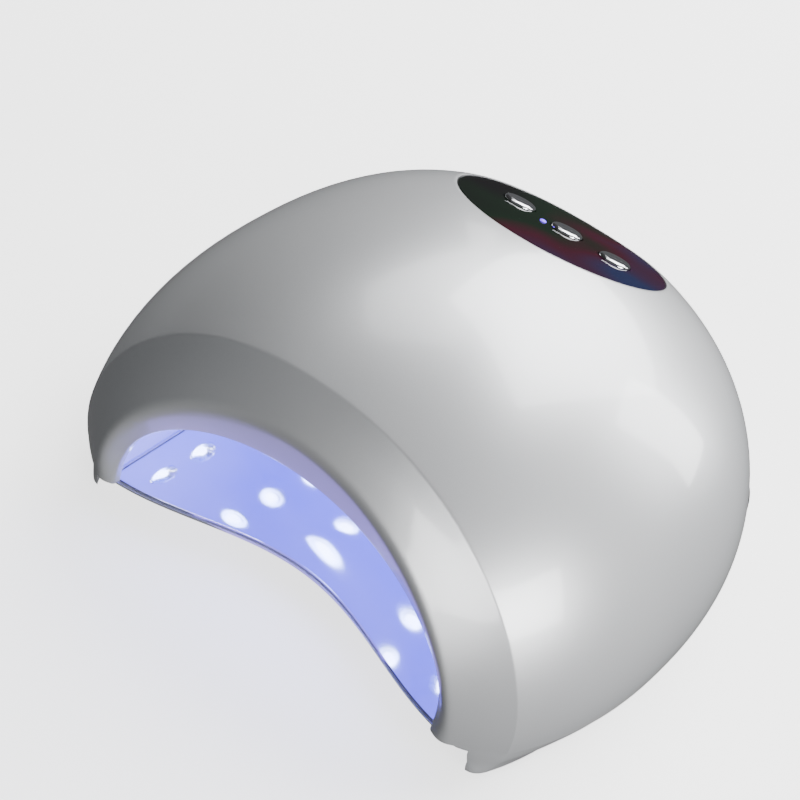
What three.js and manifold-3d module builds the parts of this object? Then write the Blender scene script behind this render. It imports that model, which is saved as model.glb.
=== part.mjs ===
// A dome-shaped UV curing lamp for resin and gel: a moulded housing with a hand cavity,
// lamps behind a reflector liner, a timer panel on top, and a mirrored tray it lifts off.
// Millimetres, +Z up. The hand goes in from -Y. The tray's feet stand on z = 0.
import * as THREE from "three";
import { mergeVertices } from "three/addons/utils/BufferGeometryUtils.js";
import Module from "manifold-3d";

const { PI, sin, cos, tan, abs, sign, max } = Math;
const { clamp, degToRad, lerp } = THREE.MathUtils;
const wasm = await Module();
wasm.setup();

// ---- Driving dimensions ----
const DOME_CENTRE_Y = -15.3; // puts the middle of the whole lamp's footprint on the origin
const HALF_WIDTH = 100; // the dome's plan is a superellipse
const HALF_DEPTH = 108;
const PLAN_POWER = 2.3;
const RISE_POWER = 1.9;
const SEAM_Z = 15; // where the housing stands on the tray
const BELT_Z = 24.5; // the wall is upright below this height
const DOME_TOP_Z = 115;
const TUCK = 0.8; // how far the wall draws in from the belt down to the seam
const WALL = 2.4;
const GAP = 0.3; // between pieces that touch

// Curved faces across the front: y = at + tan(lean) * height - bow * (x / HALF_WIDTH)^2
const CREASE = { at: -57.5, lean: degToRad(-5), bow: 9.2 };
const RIM = { at: -64.5, lean: degToRad(-7.6), bow: 24 };
const ARCH_FOOT = 3.2; // the arches stand upright over this height
const RIM_ARCH = { halfWidth: 68.5, rise: 60.2, power: 1.91 };
const MOUTH_ARCH = { halfWidth: 63.5, rise: 43.8, power: 2.07 };
const MOUTH_SETBACK = 4; // behind the rim, above the mouth's feet
const MOUTH_FOOT = { setback: 1, rise: 14 }; // the mouth's edge comes forward at its feet
const LIP_STEP = { setback: 0.8, grow: 2.5 }; // where the lip turns in towards the mouth

// The panel plane leans back over the top of the dome
const PANEL = { y: 48.2, z: 97.8, tilt: degToRad(-24.8) };
const PANEL_MARGIN = 0.8;
const PANEL_THICKNESS = 1.6;
const PANEL_DROP = 0.2;
const SEAT_DEPTH = 2.1;
const WINDOW = { halfWidth: 29, halfDepth: 9 };

const BUTTON_PITCH = 18.6;
const BUTTON_ROW = 4.2; // behind the middle of the panel
const BUTTON_RADIUS = 5.5;
const BUTTON_PROUD = 0.9;
const BUTTON_CLEARANCE = 0.35;
const SWITCH_SIZE = 6;
const SWITCH_HEIGHT = 3.4;
const PLUNGER_RADIUS = 1.6;
const CONTROL_BOARD = { width: 66, depth: 24, thickness: 1.6, level: -11.2 };
const STEM_END = -6.1;

const LINER = { wall: 1.8, depth: 130, endScale: 0.62, squareness: 5, setback: 7.0 };
const LINER_ARCH = { halfWidth: 67.5, rise: 47, power: 2.2 };
const LINER_BOTTOM_Z = SEAM_Z + GAP;
const LINER_BACK_Y = RIM.at + LINER.depth - LINER.setback;
const FLANGE_HEIGHT = 2.6;
const FLANGE_CLEARANCE = 0.4; // inside the shell's wall
const SCREW = { headRadius: 2.7, headHeight: 0.9, radius: 1.2, length: 12, sunk: 0.2 };
const SCREW_BOSS_RADIUS = 3.2;
const LAMP_RADIUS = 3.9;
const LAMP_HOLE_RADIUS = 4.5;
const LAMP_HEIGHT = 3.4;
const LED_BOARD_THICKNESS = 1.2;
const LED_BOARD_MARGIN = 8; // past the first and last lamps
const SENSOR = { y: -62, radius: 2.4, height: 6 };

const TRAY = { bottom: 1.2, top: SEAM_Z - GAP, frontY: -72, bite: 8.5, deck: 3, recess: 1.1 };
const RECESS_CLEARANCE = 0.6; // the recess stops this far inside the liner
const MIRROR_THICKNESS = 0.8;
const MIRROR_MARGIN = 1.2;
const FOOT = { radius: 6, height: 3 };
const MAGNET_RADIUS = 4;
const MAGNET_HEIGHT = 2;
const KEEPER_HEIGHT = 1.5;
const BOSS_RADIUS = 8;
const REST_POINTS = [[-76.5, -44], [76.5, -44], [-44, 82], [44, 82]]; // foot, keeper and magnet
const SCREW_POINTS = [[-87, 10], [87, 10], [-74, 58], [74, 58]];

const JACK = { bearing: degToRad(38), z: 26, radius: 4.6, length: 12, flange: 6.2, proud: 1.3 };
const LEAD_RADIUS = 1.1;
const CUT_PAST = 6; // how far a cutter runs past what it cuts
const AHEAD_Y = -120; // in front of everything

// Facet counts
const FRONT_COLUMNS = 24;
const BACK_COLUMNS = 28;
const DOME_ROWS = 6;
const ROW_CROWDING = 1.3; // draws the first row down to the belt
const LINER_COLUMNS = 18;
const TRAY_COLUMNS = 36;
const FRONT_EDGE_COLUMNS = 12;
const ROUND = 16;
const SMALL_ROUND = 12;

// ---- Materials ----
const finish = (color, roughness, metalness = 0) =>
  new THREE.MeshStandardMaterial({ color, roughness, metalness });
const PEARL = finish(0xdadde0, 0.22, 0.15);
const WHITE_PLASTIC = finish(0xe8ebf0, 0.35);
const BLACK_GLOSS = finish(0x0b0508, 0.08);
const CHROME = finish(0xc9ccd0, 0.1, 1);
const MIRROR = finish(0xd4d8e2, 0.04, 1);
const STEEL = finish(0x9aa0a6, 0.4, 1);
const RUBBER = finish(0x55585c, 0.9);
const BLACK_PLASTIC = finish(0x17181a, 0.5);
const BOARD_WHITE = finish(0xd9dcd6, 0.6);
const BOARD_GREEN = finish(0x1d5a3a, 0.55);
const LENS = finish(0xbfc4ff, 0.1);

// ---- Closed surfaces from rows of points ----
const v3 = (x, y, z) => new THREE.Vector3(x, y, z);

class Surface {
  constructor() {
    this.corners = [];
  }

  triangle(a, b, c) {
    const thin = 1e-5;
    if (a.distanceTo(b) < thin || b.distanceTo(c) < thin || c.distanceTo(a) < thin) return;
    this.corners.push(a, b, c);
  }

  // Rows of equal length. The face looks along (next row) x (next column).
  grid(rows) {
    for (let i = 0; i + 1 < rows.length; i++) {
      for (let j = 0; j + 1 < rows[i].length; j++) {
        const [a, b, c, d] = [rows[i][j], rows[i + 1][j], rows[i + 1][j + 1], rows[i][j + 1]];
        this.triangle(a, b, c);
        this.triangle(a, c, d);
      }
    }
    return this;
  }

  // A level plate across an outline; facing is 1 for up and -1 for down.
  plate(outline, facing) {
    const flat = outline.map((p) => new THREE.Vector2(p.x, p.y));
    for (const [i, j, k] of THREE.ShapeUtils.triangulateShape(flat, [])) {
      const [a, b, c] = [outline[i], outline[j], outline[k]];
      const up = b.clone().sub(a).cross(c.clone().sub(a)).z;
      if (up * facing > 0) this.triangle(a, b, c);
      else this.triangle(a, c, b);
    }
    return this;
  }

  geometry() {
    const positions = this.corners.flatMap((p) => p.toArray());
    return new THREE.BufferGeometry().setAttribute(
      "position",
      new THREE.Float32BufferAttribute(positions, 3),
    );
  }
}

const ring = (points) => [...points, points[0]];

// ---- Joining and cutting ----
function toSolid(geometry) {
  const bare = new THREE.BufferGeometry().setAttribute("position", geometry.getAttribute("position"));
  if (geometry.index) bare.setIndex(geometry.index);
  const merged = mergeVertices(bare, 1e-4);
  const mesh = new wasm.Mesh({
    numProp: 3,
    vertProperties: new Float32Array(merged.attributes.position.array),
    triVerts: new Uint32Array(merged.index.array),
  });
  return new wasm.Manifold(mesh);
}

function fromSolid(solid) {
  const { vertProperties, triVerts } = solid.getMesh();
  const geometry = new THREE.BufferGeometry();
  geometry.setAttribute("position", new THREE.BufferAttribute(new Float32Array(vertProperties), 3));
  geometry.setIndex(new THREE.BufferAttribute(new Uint32Array(triVerts), 1));
  return geometry.toNonIndexed();
}

const cut = (body, tools) =>
  tools.reduce((solid, tool) => solid.subtract(toSolid(tool)), body);
const join = (body, additions) =>
  additions.reduce((solid, piece) => solid.add(toSolid(piece)), body);

// An upright prism over an outline of points, whose heights are ignored.
function prism(outline, bottom, top) {
  const shape = new THREE.Shape(outline.map((p) => new THREE.Vector2(p.x, p.y)));
  const geometry = new THREE.ExtrudeGeometry(shape, { depth: top - bottom, bevelEnabled: false });
  return geometry.translate(0, 0, bottom);
}

// A rod from one point to another.
function rod(start, end, radius, sides = ROUND) {
  const length = start.distanceTo(end);
  const turn = new THREE.Quaternion().setFromUnitVectors(
    v3(0, 1, 0),
    end.clone().sub(start).normalize(),
  );
  const middle = start.clone().add(end).multiplyScalar(0.5);
  return new THREE.CylinderGeometry(radius, radius, length, sides)
    .applyQuaternion(turn)
    .translate(middle.x, middle.y, middle.z);
}

const upright = ([x, y], bottom, top, radius, sides = ROUND) =>
  rod(v3(x, y, bottom), v3(x, y, top), radius, sides);

// A turned piece whose axis is +Z, from [radius, height] points.
function turned(profile, sides = ROUND) {
  const points = profile.map(([r, z]) => new THREE.Vector2(r, z));
  return new THREE.LatheGeometry(points, sides).rotateX(PI / 2);
}

// ---- The dome ----
const signedPower = (value, power) => sign(value) * abs(value) ** power;

function drawnIn(inset, z) {
  return inset + TUCK * clamp((BELT_Z - z) / (BELT_Z - SEAM_Z), 0, 1) ** 2;
}

function planPoint(bearing, inset, z) {
  const total = drawnIn(inset, z);
  const x = (HALF_WIDTH - total) * signedPower(cos(bearing), 2 / PLAN_POWER);
  const y = (HALF_DEPTH - total) * signedPower(sin(bearing), 2 / PLAN_POWER);
  return v3(x, y, z);
}

// Below 1 inside the dome, 1 on its surface. It grows as the RISE_POWER of the distance
// from the hub, which is the middle of the dome at the belt's height.
function domeValue(p, inset) {
  const total = drawnIn(inset, p.z);
  const across = abs(p.x / (HALF_WIDTH - total)) ** PLAN_POWER;
  const along = abs(p.y / (HALF_DEPTH - total)) ** PLAN_POWER;
  const rise = max(0, p.z - BELT_Z) / (DOME_TOP_Z - inset - BELT_Z);
  return (across + along) ** (RISE_POWER / PLAN_POWER) + rise ** RISE_POWER;
}

const hub = v3(0, 0, BELT_Z);

function domeAlong(direction, inset) {
  const value = domeValue(direction.clone().add(hub), inset);
  return direction.clone().multiplyScalar(value ** (-1 / RISE_POWER)).add(hub);
}

// The distance at which a ray of points stops being inside.
function reach(isInside, far = 220) {
  let [near, out] = [0, far];
  for (let step = 0; step < 40; step++) {
    const middle = (near + out) / 2;
    if (isInside(middle)) near = middle;
    else out = middle;
  }
  return (near + out) / 2;
}

// ---- The front: crease, rim and mouth ----
function onFace(face, x, height, setback = 0) {
  const y = face.at + tan(face.lean) * height - face.bow * (x / HALF_WIDTH) ** 2 + setback;
  return v3(x, y, SEAM_Z + height);
}

function creasePoint(angle, inset) {
  const along = (r) => onFace(CREASE, r * cos(angle), r * sin(angle));
  return along(reach((r) => domeValue(along(r), inset) < 1));
}

// A point of an upright arch, as [x, height above the seam].
function archPoint(angle, arch, grow = 0, scale = 1) {
  const halfWidth = arch.halfWidth * scale + grow;
  const rise = arch.rise * scale + grow;
  const inside = (r) =>
    abs((r * cos(angle)) / halfWidth) ** arch.power +
      (max(0, r * sin(angle) - ARCH_FOOT) / rise) ** arch.power < 1;
  const r = reach(inside);
  return [r * cos(angle), r * sin(angle)];
}

const angles = (count) => Array.from({ length: count + 1 }, (_, j) => (j / count) * PI);
const frontAngles = angles(FRONT_COLUMNS);

function archRow(arch, setback, grow = 0) {
  return frontAngles.map((angle) => {
    const [x, height] = archPoint(angle, arch, grow);
    return onFace(RIM, x, height, setback);
  });
}

function mouthRow(extra) {
  return frontAngles.map((angle) => {
    const [x, height] = archPoint(angle, MOUTH_ARCH);
    const setback = lerp(MOUTH_FOOT.setback, MOUTH_SETBACK, clamp(height / MOUTH_FOOT.rise, 0, 1));
    return onFace(RIM, x, height, setback + extra);
  });
}

// ---- The panel's plane ----
const panelAcross = v3(1, 0, 0);
const panelBack = v3(0, cos(PANEL.tilt), sin(PANEL.tilt));
const panelUp = v3(0, -sin(PANEL.tilt), cos(PANEL.tilt));

// across and back lie in the plane; level is above it.
const onPanel = (across, back, level) =>
  v3(0, PANEL.y, PANEL.z)
    .addScaledVector(panelAcross, across)
    .addScaledVector(panelBack, back)
    .addScaledVector(panelUp, level);

// Where the dome meets the plane at a level, drawn in by a margin.
function panelEdge(angle, level, inset, margin = 0) {
  const along = (r) => onPanel(r * cos(angle), r * sin(angle), level);
  return along(reach((r) => domeValue(along(r), inset) < 1, 90) - margin);
}

const panelTurn = new THREE.Quaternion().setFromRotationMatrix(
  new THREE.Matrix4().makeBasis(panelAcross, panelBack, panelUp),
);

// Places a mesh modelled flat, with its origin at a spot of the panel's plane.
function seatOnPanel(mesh, across, back, level = 0) {
  mesh.position.copy(onPanel(across, back, level));
  mesh.quaternion.copy(panelTurn);
  return mesh;
}

// ---- Upper shell ----
// The skirt is the loop that ends the dome: the crease over the front and the seam round the
// back. It runs from the right foot over the front to the left foot, then round the back.
function skirt(inset) {
  const front = frontAngles.map((angle) => creasePoint(angle, inset));
  const foot = (abs(front[0].y) / (HALF_DEPTH - inset)) ** (PLAN_POWER / 2);
  const right = -Math.asin(foot);
  const left = PI - right;
  const back = [];
  for (let j = 1; j < BACK_COLUMNS; j++) {
    back.push(planPoint(lerp(left, right, j / BACK_COLUMNS), inset, SEAM_Z));
  }
  return [...front, ...back];
}

// Rows of points over the dome, from its skirt up to its edge under the panel.
function domeRows(inset, level) {
  const low = skirt(inset);
  const high = low.map((p) => panelEdge(Math.atan2(p.y - PANEL.y, p.x), level, inset));
  const rows = [];
  for (let i = 0; i <= DOME_ROWS; i++) {
    rows.push(low.map((p, j) => {
      if (i === 0) return p;
      if (i === DOME_ROWS) return high[j];
      const [from, to] = [p.clone().sub(hub).normalize(), high[j].clone().sub(hub).normalize()];
      const arc = from.angleTo(to);
      const t = (i / DOME_ROWS) ** ROW_CROWDING;
      const direction = from.multiplyScalar(sin((1 - t) * arc)).addScaledVector(to, sin(t * arc));
      return domeAlong(direction.normalize(), inset);
    }));
  }
  return rows;
}

function windowRing(angleList, level) {
  return angleList.map((angle) => {
    const across = WINDOW.halfWidth * signedPower(cos(angle), 2 / 3);
    const back = BUTTON_ROW + WINDOW.halfDepth * signedPower(sin(angle), 2 / 3);
    return onPanel(across, back, level);
  });
}

function shellSkin() {
  const seatUnder = -SEAT_DEPTH - WALL;
  const outer = domeRows(0, 0);
  const inner = domeRows(WALL, seatUnder);
  const around = outer[0].map((p) => Math.atan2(p.y - PANEL.y, p.x));
  const seat = [
    around.map((angle) => panelEdge(angle, 0, 0, PANEL_MARGIN)),
    around.map((angle) => {
      const edge = panelEdge(angle, 0, 0, PANEL_MARGIN);
      return edge.addScaledVector(panelUp, -SEAT_DEPTH);
    }),
    windowRing(around, -SEAT_DEPTH),
    windowRing(around, seatUnder),
  ];
  const loops = [...outer, ...seat, ...inner.reverse()];
  const innerSkirt = loops.at(-1);
  const outerSkirt = loops[0];

  // The band runs from the crease to the rim, turns in as the lip, and comes back inside
  const front = (row) => row.slice(0, FRONT_COLUMNS + 1);
  const rim = archRow(RIM_ARCH, 0);
  const between = (a, b, t) => a.map((p, j) => p.clone().lerp(b[j], t));
  const band = [
    front(innerSkirt),
    archRow(RIM_ARCH, WALL, -WALL),
    mouthRow(WALL),
    mouthRow(0),
    archRow(MOUTH_ARCH, LIP_STEP.setback, LIP_STEP.grow),
    rim,
    between(rim, front(outerSkirt), 0.5),
    front(outerSkirt),
  ];
  const back = (row) => ring(row).slice(FRONT_COLUMNS);
  const foot = (j) => band.map((row) => row[j]);
  return new Surface()
    .grid(loops.map(ring))
    .grid([back(innerSkirt), back(outerSkirt)])
    .grid(band)
    .plate(foot(0), -1)
    .plate(foot(FRONT_COLUMNS), -1);
}

// The dome as one full solid, which trims the screw bosses.
function fullDome(inset) {
  const [columns, steps] = [32, 8];
  const bearings = Array.from({ length: columns }, (_, j) => (-j / columns) * 2 * PI);
  const rows = [];
  for (let i = 0; i <= steps; i++) {
    const climb = (i / steps) * (PI / 2);
    rows.push(ring(bearings.map((b) => {
      if (i === 0) return planPoint(b, inset, SEAM_Z);
      return domeAlong(v3(cos(b) * cos(climb), sin(b) * cos(climb), sin(climb)), inset);
    })));
  }
  return new Surface().grid(rows).plate(rows[0].slice(0, -1), -1);
}

const jackSpot = planPoint(JACK.bearing, 0, JACK.z);
const jackOut = v3(
  abs(cos(JACK.bearing)) ** (2 - 2 / PLAN_POWER) / HALF_WIDTH,
  abs(sin(JACK.bearing)) ** (2 - 2 / PLAN_POWER) / HALF_DEPTH,
  0,
).normalize();
const jackAt = (out) => jackSpot.clone().addScaledVector(jackOut, out);

function upperShell() {
  const bossBottom = SEAM_Z + GAP + FLANGE_HEIGHT + GAP;
  const trim = toSolid(fullDome(WALL / 2).geometry());
  let shell = toSolid(shellSkin().geometry());
  for (const point of SCREW_POINTS) {
    const boss = upright(point, bossBottom, DOME_TOP_Z, SCREW_BOSS_RADIUS, SMALL_ROUND);
    shell = shell.add(toSolid(boss).intersect(trim));
  }
  const pilots = SCREW_POINTS.map((point) =>
    upright(point, SEAM_Z, bossBottom + SCREW.length, SCREW.radius + GAP, SMALL_ROUND));
  const jackHole = rod(jackAt(-JACK.length), jackAt(CUT_PAST), JACK.radius + GAP);
  return fromSolid(cut(shell, [...pilots, jackHole]));
}

// ---- Reflector liner ----
// deep runs from 0 at the mouth to 1 at the back of the cavity.
function linerScale(deep) {
  const end = (1 - LINER.endScale ** LINER.squareness) ** (1 / LINER.squareness);
  return (1 - (deep * end) ** LINER.squareness) ** (1 / LINER.squareness);
}

function linerPoint(angle, deep, grow) {
  const [x, height] = archPoint(angle, LINER_ARCH, grow, linerScale(deep));
  const mouth = onFace(RIM, x, height, LINER.setback);
  const back = LINER_BACK_Y + grow;
  return v3(x, lerp(mouth.y, back, deep), max(mouth.z, LINER_BOTTOM_Z));
}

const LINER_STEPS = [0, 0.35, 0.6, 0.77, 0.88, 0.95, 1];

function linerRows(grow) {
  const rows = LINER_STEPS.map((deep) =>
    angles(LINER_COLUMNS).map((angle) => linerPoint(angle, deep, grow)));
  const footOfBack = v3(0, LINER_BACK_Y + grow, LINER_BOTTOM_Z);
  rows.push(rows[0].map(() => footOfBack));
  return rows;
}

function linerWall() {
  const loop = [...linerRows(LINER.wall), ...linerRows(0).reverse()];
  loop.push(loop[0]);
  const foot = (j) => loop.slice(0, -1).map((row) => row[j]);
  return new Surface().grid(loop).plate(foot(0), -1).plate(foot(LINER_COLUMNS), -1);
}

// The cavity's outline on the floor, from the right of the mouth round the back to the left.
function cavityOutline(grow) {
  const right = LINER_STEPS.map((deep) => linerPoint(0, deep, grow));
  const left = LINER_STEPS.map((deep) => linerPoint(PI, deep, grow));
  return [...right, ...left.reverse()];
}

// The flange closes the underside between the cavity and the outer wall.
function flangeOutline() {
  const clear = WALL + FLANGE_CLEARANCE;
  const loop = skirt(clear);
  const aroundBack = loop.slice(FRONT_COLUMNS);
  const rightFoot = archRow(RIM_ARCH, clear + FLANGE_CLEARANCE, -clear)[0];
  const leftFoot = v3(-rightFoot.x, rightFoot.y, rightFoot.z);
  return [leftFoot, ...aroundBack, loop[0], rightFoot, ...cavityOutline(LINER.wall / 2)];
}

function innerLiner() {
  const flange = prism(flangeOutline(), LINER_BOTTOM_Z, LINER_BOTTOM_Z + FLANGE_HEIGHT);
  const body = join(toSolid(linerWall().geometry()), [flange]);
  const lampHoles = lampStations.map(({ at, into }) => {
    const reachFrom = (out) => at.clone().addScaledVector(into, out);
    return rod(reachFrom(-CUT_PAST), reachFrom(CUT_PAST), LAMP_HOLE_RADIUS, 8);
  });
  const aboveFlange = SEAM_Z + CUT_PAST;
  const headTop = LINER_BOTTOM_Z + SCREW.sunk + SCREW.headHeight + GAP;
  const magnetHoles = REST_POINTS.map((p) => upright(p, SEAM_Z, aboveFlange, MAGNET_RADIUS + GAP));
  const screwHoles = SCREW_POINTS.flatMap((p) => [
    upright(p, SEAM_Z, aboveFlange, SCREW.radius + GAP, SMALL_ROUND),
    upright(p, SEAM_Z, headTop, SCREW.headRadius + GAP, SMALL_ROUND),
  ]);
  const sensorHole = upright(
    [0, SENSOR.y], SEAM_Z + LINER_ARCH.rise / 2, DOME_TOP_Z, SENSOR.radius + GAP, SMALL_ROUND,
  );
  return fromSolid(cut(body, [...lampHoles, ...magnetHoles, ...screwHoles, sensorHole]));
}

// ---- Lamps and their boards ----
// A board is a flat strip just outside the liner, at an angle up its arch (its climb).
// Its lamps stand in rows along Y and columns across it.
const BOARD_STANDOFF = LINER.wall + 0.5;
const SIDE_CLIMB = 15;
const SHOULDER_CLIMB = 46;
const ROOF_CLIMB = 90;

// side is 1 for the right and -1 for the left; out is the direction away from the cavity.
function archStation(climb, side) {
  const [x, height] = archPoint(degToRad(climb), LINER_ARCH, BOARD_STANDOFF);
  const steep = LINER_ARCH.power - 1;
  const out = v3(
    (side * max(0, x / LINER_ARCH.halfWidth) ** steep) / LINER_ARCH.halfWidth,
    0,
    ((height - ARCH_FOOT) / LINER_ARCH.rise) ** steep / LINER_ARCH.rise,
  ).normalize();
  return { at: v3(side * x, 0, SEAM_Z + height), out };
}

function boardList() {
  const roof = { name: "roof", width: 44, rows: [-48, -26, -4, 18], columns: [-15, 15] };
  const shoulder = { width: 14, rows: [-43, -20, 3], columns: [0] };
  const low = { width: 12, rows: [-52, -33, -14], columns: [0] };
  const list = [{ ...roof, ...archStation(ROOF_CLIMB, 1) }];
  for (const [name, side] of [["left", -1], ["right", 1]]) {
    list.push({ ...shoulder, name: `${name}_shoulder`, ...archStation(SHOULDER_CLIMB, side) });
    list.push({ ...low, name: `${name}_side`, ...archStation(SIDE_CLIMB, side) });
  }
  return list;
}

const boards = boardList();

// at is on the board's inner face, under the lamp; into points into the cavity.
const lampStations = boards.flatMap(({ rows, columns, at, out }) =>
  rows.flatMap((y) => columns.map((x) => ({
    at: v3(at.x + x, y, at.z),
    into: out.clone().negate(),
  }))));

function turnTo(mesh, direction) {
  mesh.quaternion.setFromUnitVectors(v3(0, 0, 1), direction);
  return mesh;
}

function ledBoard({ rows, width, at, out }) {
  const [front, back] = [rows[0] - LED_BOARD_MARGIN, rows.at(-1) + LED_BOARD_MARGIN];
  const geometry = new THREE.BoxGeometry(width, back - front, LED_BOARD_THICKNESS);
  const mesh = new THREE.Mesh(geometry, BOARD_WHITE);
  const across = v3(out.z, 0, -out.x);
  mesh.quaternion.setFromRotationMatrix(
    new THREE.Matrix4().makeBasis(across, v3(0, 1, 0), out.clone()),
  );
  mesh.position.copy(at).addScaledVector(out, LED_BOARD_THICKNESS / 2);
  mesh.position.y = (front + back) / 2;
  return mesh;
}

function ledLamp({ at, into }) {
  const profile = [
    [0, 0], [LAMP_RADIUS, 0], [LAMP_RADIUS, 1.1], [2.4, 2.3], [0, LAMP_HEIGHT],
  ];
  const mesh = turnTo(new THREE.Mesh(turned(profile, 10), LENS), into);
  mesh.position.copy(at).addScaledVector(into, GAP);
  return mesh;
}

// ---- Control panel, buttons and their switches ----
const buttonPlaces = [-BUTTON_PITCH, 0, BUTTON_PITCH];
const INDICATOR = { across: -6.6, back: -1.2, radius: 1.1 };

function controlPanel() {
  const rimAngles = Array.from({ length: 40 }, (_, j) => (j / 40) * 2 * PI);
  const outline = rimAngles.map((angle) => {
    const edge = panelEdge(angle, 0, 0, PANEL_MARGIN + GAP).sub(onPanel(0, 0, 0));
    return new THREE.Vector2(edge.dot(panelAcross), edge.dot(panelBack));
  });
  const shape = new THREE.Shape(outline);
  const hole = (x, y, radius) => {
    shape.holes.push(new THREE.Path().absarc(x, y, radius, 0, 2 * PI));
  };
  buttonPlaces.forEach((x) => hole(x, BUTTON_ROW, BUTTON_RADIUS + BUTTON_CLEARANCE));
  hole(INDICATOR.across, INDICATOR.back, INDICATOR.radius + GAP);
  const geometry = new THREE.ExtrudeGeometry(shape, {
    depth: PANEL_THICKNESS, bevelEnabled: false, curveSegments: 8,
  });
  return seatOnPanel(new THREE.Mesh(geometry, BLACK_GLOSS), 0, 0, -PANEL_DROP - PANEL_THICKNESS);
}

// A chrome cap with a stem that reaches down to the switch.
function timerButton(across) {
  const skirtLevel = -1.3;
  const profile = [
    [0, STEM_END], [1.4, STEM_END], [1.4, skirtLevel], [BUTTON_RADIUS, skirtLevel],
    [BUTTON_RADIUS, BUTTON_PROUD - 0.7], [BUTTON_RADIUS - 0.7, BUTTON_PROUD],
    [2.6, BUTTON_PROUD - 0.3], [0, BUTTON_PROUD - 0.4],
  ];
  return seatOnPanel(new THREE.Mesh(turned(profile, 16), CHROME), across, BUTTON_ROW);
}

const switchBase = CONTROL_BOARD.level + CONTROL_BOARD.thickness / 2 + GAP;

function tactSwitch(across) {
  const body = new THREE.BoxGeometry(SWITCH_SIZE, SWITCH_SIZE, SWITCH_HEIGHT);
  const wellFloor = -0.2;
  const well = rod(v3(0, 0, wellFloor), v3(0, 0, SWITCH_HEIGHT), PLUNGER_RADIUS + GAP, SMALL_ROUND);
  const mesh = new THREE.Mesh(fromSolid(cut(toSolid(body), [well])), BLACK_PLASTIC);
  return seatOnPanel(mesh, across, BUTTON_ROW, switchBase + SWITCH_HEIGHT / 2);
}

// The plunger fills the well, with room under it to travel, up to just below the stem.
function switchPlunger(across) {
  const travelRoom = 0.9;
  const bottom = switchBase + SWITCH_HEIGHT / 2 - 0.2 + travelRoom;
  const height = STEM_END - GAP - bottom;
  const profile = [[0, 0], [PLUNGER_RADIUS, 0], [PLUNGER_RADIUS, height], [0, height]];
  const geometry = turned(profile, SMALL_ROUND);
  return seatOnPanel(new THREE.Mesh(geometry, BLACK_PLASTIC), across, BUTTON_ROW, bottom);
}

function controlBoard() {
  const { width, depth, thickness, level } = CONTROL_BOARD;
  const mesh = new THREE.Mesh(new THREE.BoxGeometry(width, depth, thickness), BOARD_GREEN);
  return seatOnPanel(mesh, 0, BUTTON_ROW, level);
}

function indicatorLight() {
  const foot = switchBase;
  const { radius } = INDICATOR;
  const profile = [[0, foot], [radius, foot], [radius, 0], [radius * 0.6, 0.3], [0, 0.4]];
  return seatOnPanel(new THREE.Mesh(turned(profile, 10), LENS), INDICATOR.across, INDICATOR.back);
}

// ---- Power inlet and its lead ----
function dcJack() {
  const { radius, length, flange, proud } = JACK;
  const [bore, pin, wallFace, boreEnd] = [2.8, 1, 0.5, -9];
  const profile = [
    [0, -length], [radius, -length], [radius, wallFace], [flange, wallFace], [flange, proud],
    [bore, proud], [bore, boreEnd], [pin, boreEnd], [pin, -1.5], [0, -1.2],
  ];
  const mesh = turnTo(new THREE.Mesh(turned(profile), BLACK_PLASTIC), jackOut);
  mesh.position.copy(jackSpot);
  return mesh;
}

// The lead leaves the inlet straight, climbs inside the wall and comes to the board's side.
function powerLead() {
  const boardEdge = onPanel(CONTROL_BOARD.width / 2, BUTTON_ROW, CONTROL_BOARD.level);
  const start = jackAt(-JACK.length - GAP - 0.2);
  const end = boardEdge.add(v3(LEAD_RADIUS + GAP, 0, 0));
  const climb = [v3(61, 60, 42), v3(52, 56, 64), end.clone().add(v3(6, 0, -5))];
  const path = new THREE.CatmullRomCurve3([start, jackAt(-JACK.length - 4), ...climb, end]);
  const section = new THREE.Shape().absarc(0, 0, LEAD_RADIUS, 0, 2 * PI);
  return new THREE.Mesh(
    new THREE.ExtrudeGeometry(section, { steps: 14, extrudePath: path, curveSegments: 2 }),
    BLACK_PLASTIC,
  );
}

// ---- Tray ----
// A dish turned over: a top plate with a skirt round the sides and back, open at the front.
// Its front edge curves in between two corners to leave room for the wrist. The skirt draws
// in towards the bench, and flares again at the front corners. setback moves a level's front
// edge; cornerX and cornerY are the size of its front corners' chamfer.
const TRAY_LEVELS = [
  { z: TRAY.bottom, inset: 6.6, flare: 3.1, setback: 4.8, cornerX: 1.4, cornerY: 1.6 },
  { z: 2.8, inset: 5.9, flare: 2.9, setback: 4.4, cornerX: 2.2, cornerY: 2 },
  { z: 6, inset: 4.4, flare: 2.3, setback: 3.7, cornerX: 5, cornerY: 3.5 },
  { z: 10, inset: 2.1, flare: 1.2, setback: 2, cornerX: 8.5, cornerY: 5.5 },
  { z: TRAY.top, inset: 0.3, flare: 0, setback: 0, cornerX: 12.4, cornerY: 7.8 },
];
const FLARE_START = 0.37; // sine of the bearing, forward of the side
const FLARE_SPAN = 0.2335;
const HOLLOW_LEVELS = [
  { ...TRAY_LEVELS[0], z: 0, inset: 9, setback: 0 },
  { ...TRAY_LEVELS[0], z: TRAY.top - TRAY.deck, inset: 5.5, flare: 0.6, setback: 0 },
];

function traySide(level) {
  const { z, inset, flare, setback, cornerY } = level;
  const frontY = TRAY.frontY + setback + cornerY;
  const depth = HALF_DEPTH - drawnIn(inset - flare, z);
  const right = -Math.asin((-frontY / depth) ** (PLAN_POWER / 2));
  return Array.from({ length: TRAY_COLUMNS + 1 }, (_, j) => {
    const bearing = lerp(right, PI - right, j / TRAY_COLUMNS);
    const forward = clamp((-sin(bearing) - FLARE_START) / FLARE_SPAN, 0, 1);
    return planPoint(bearing, inset - flare * forward, z);
  });
}

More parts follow.
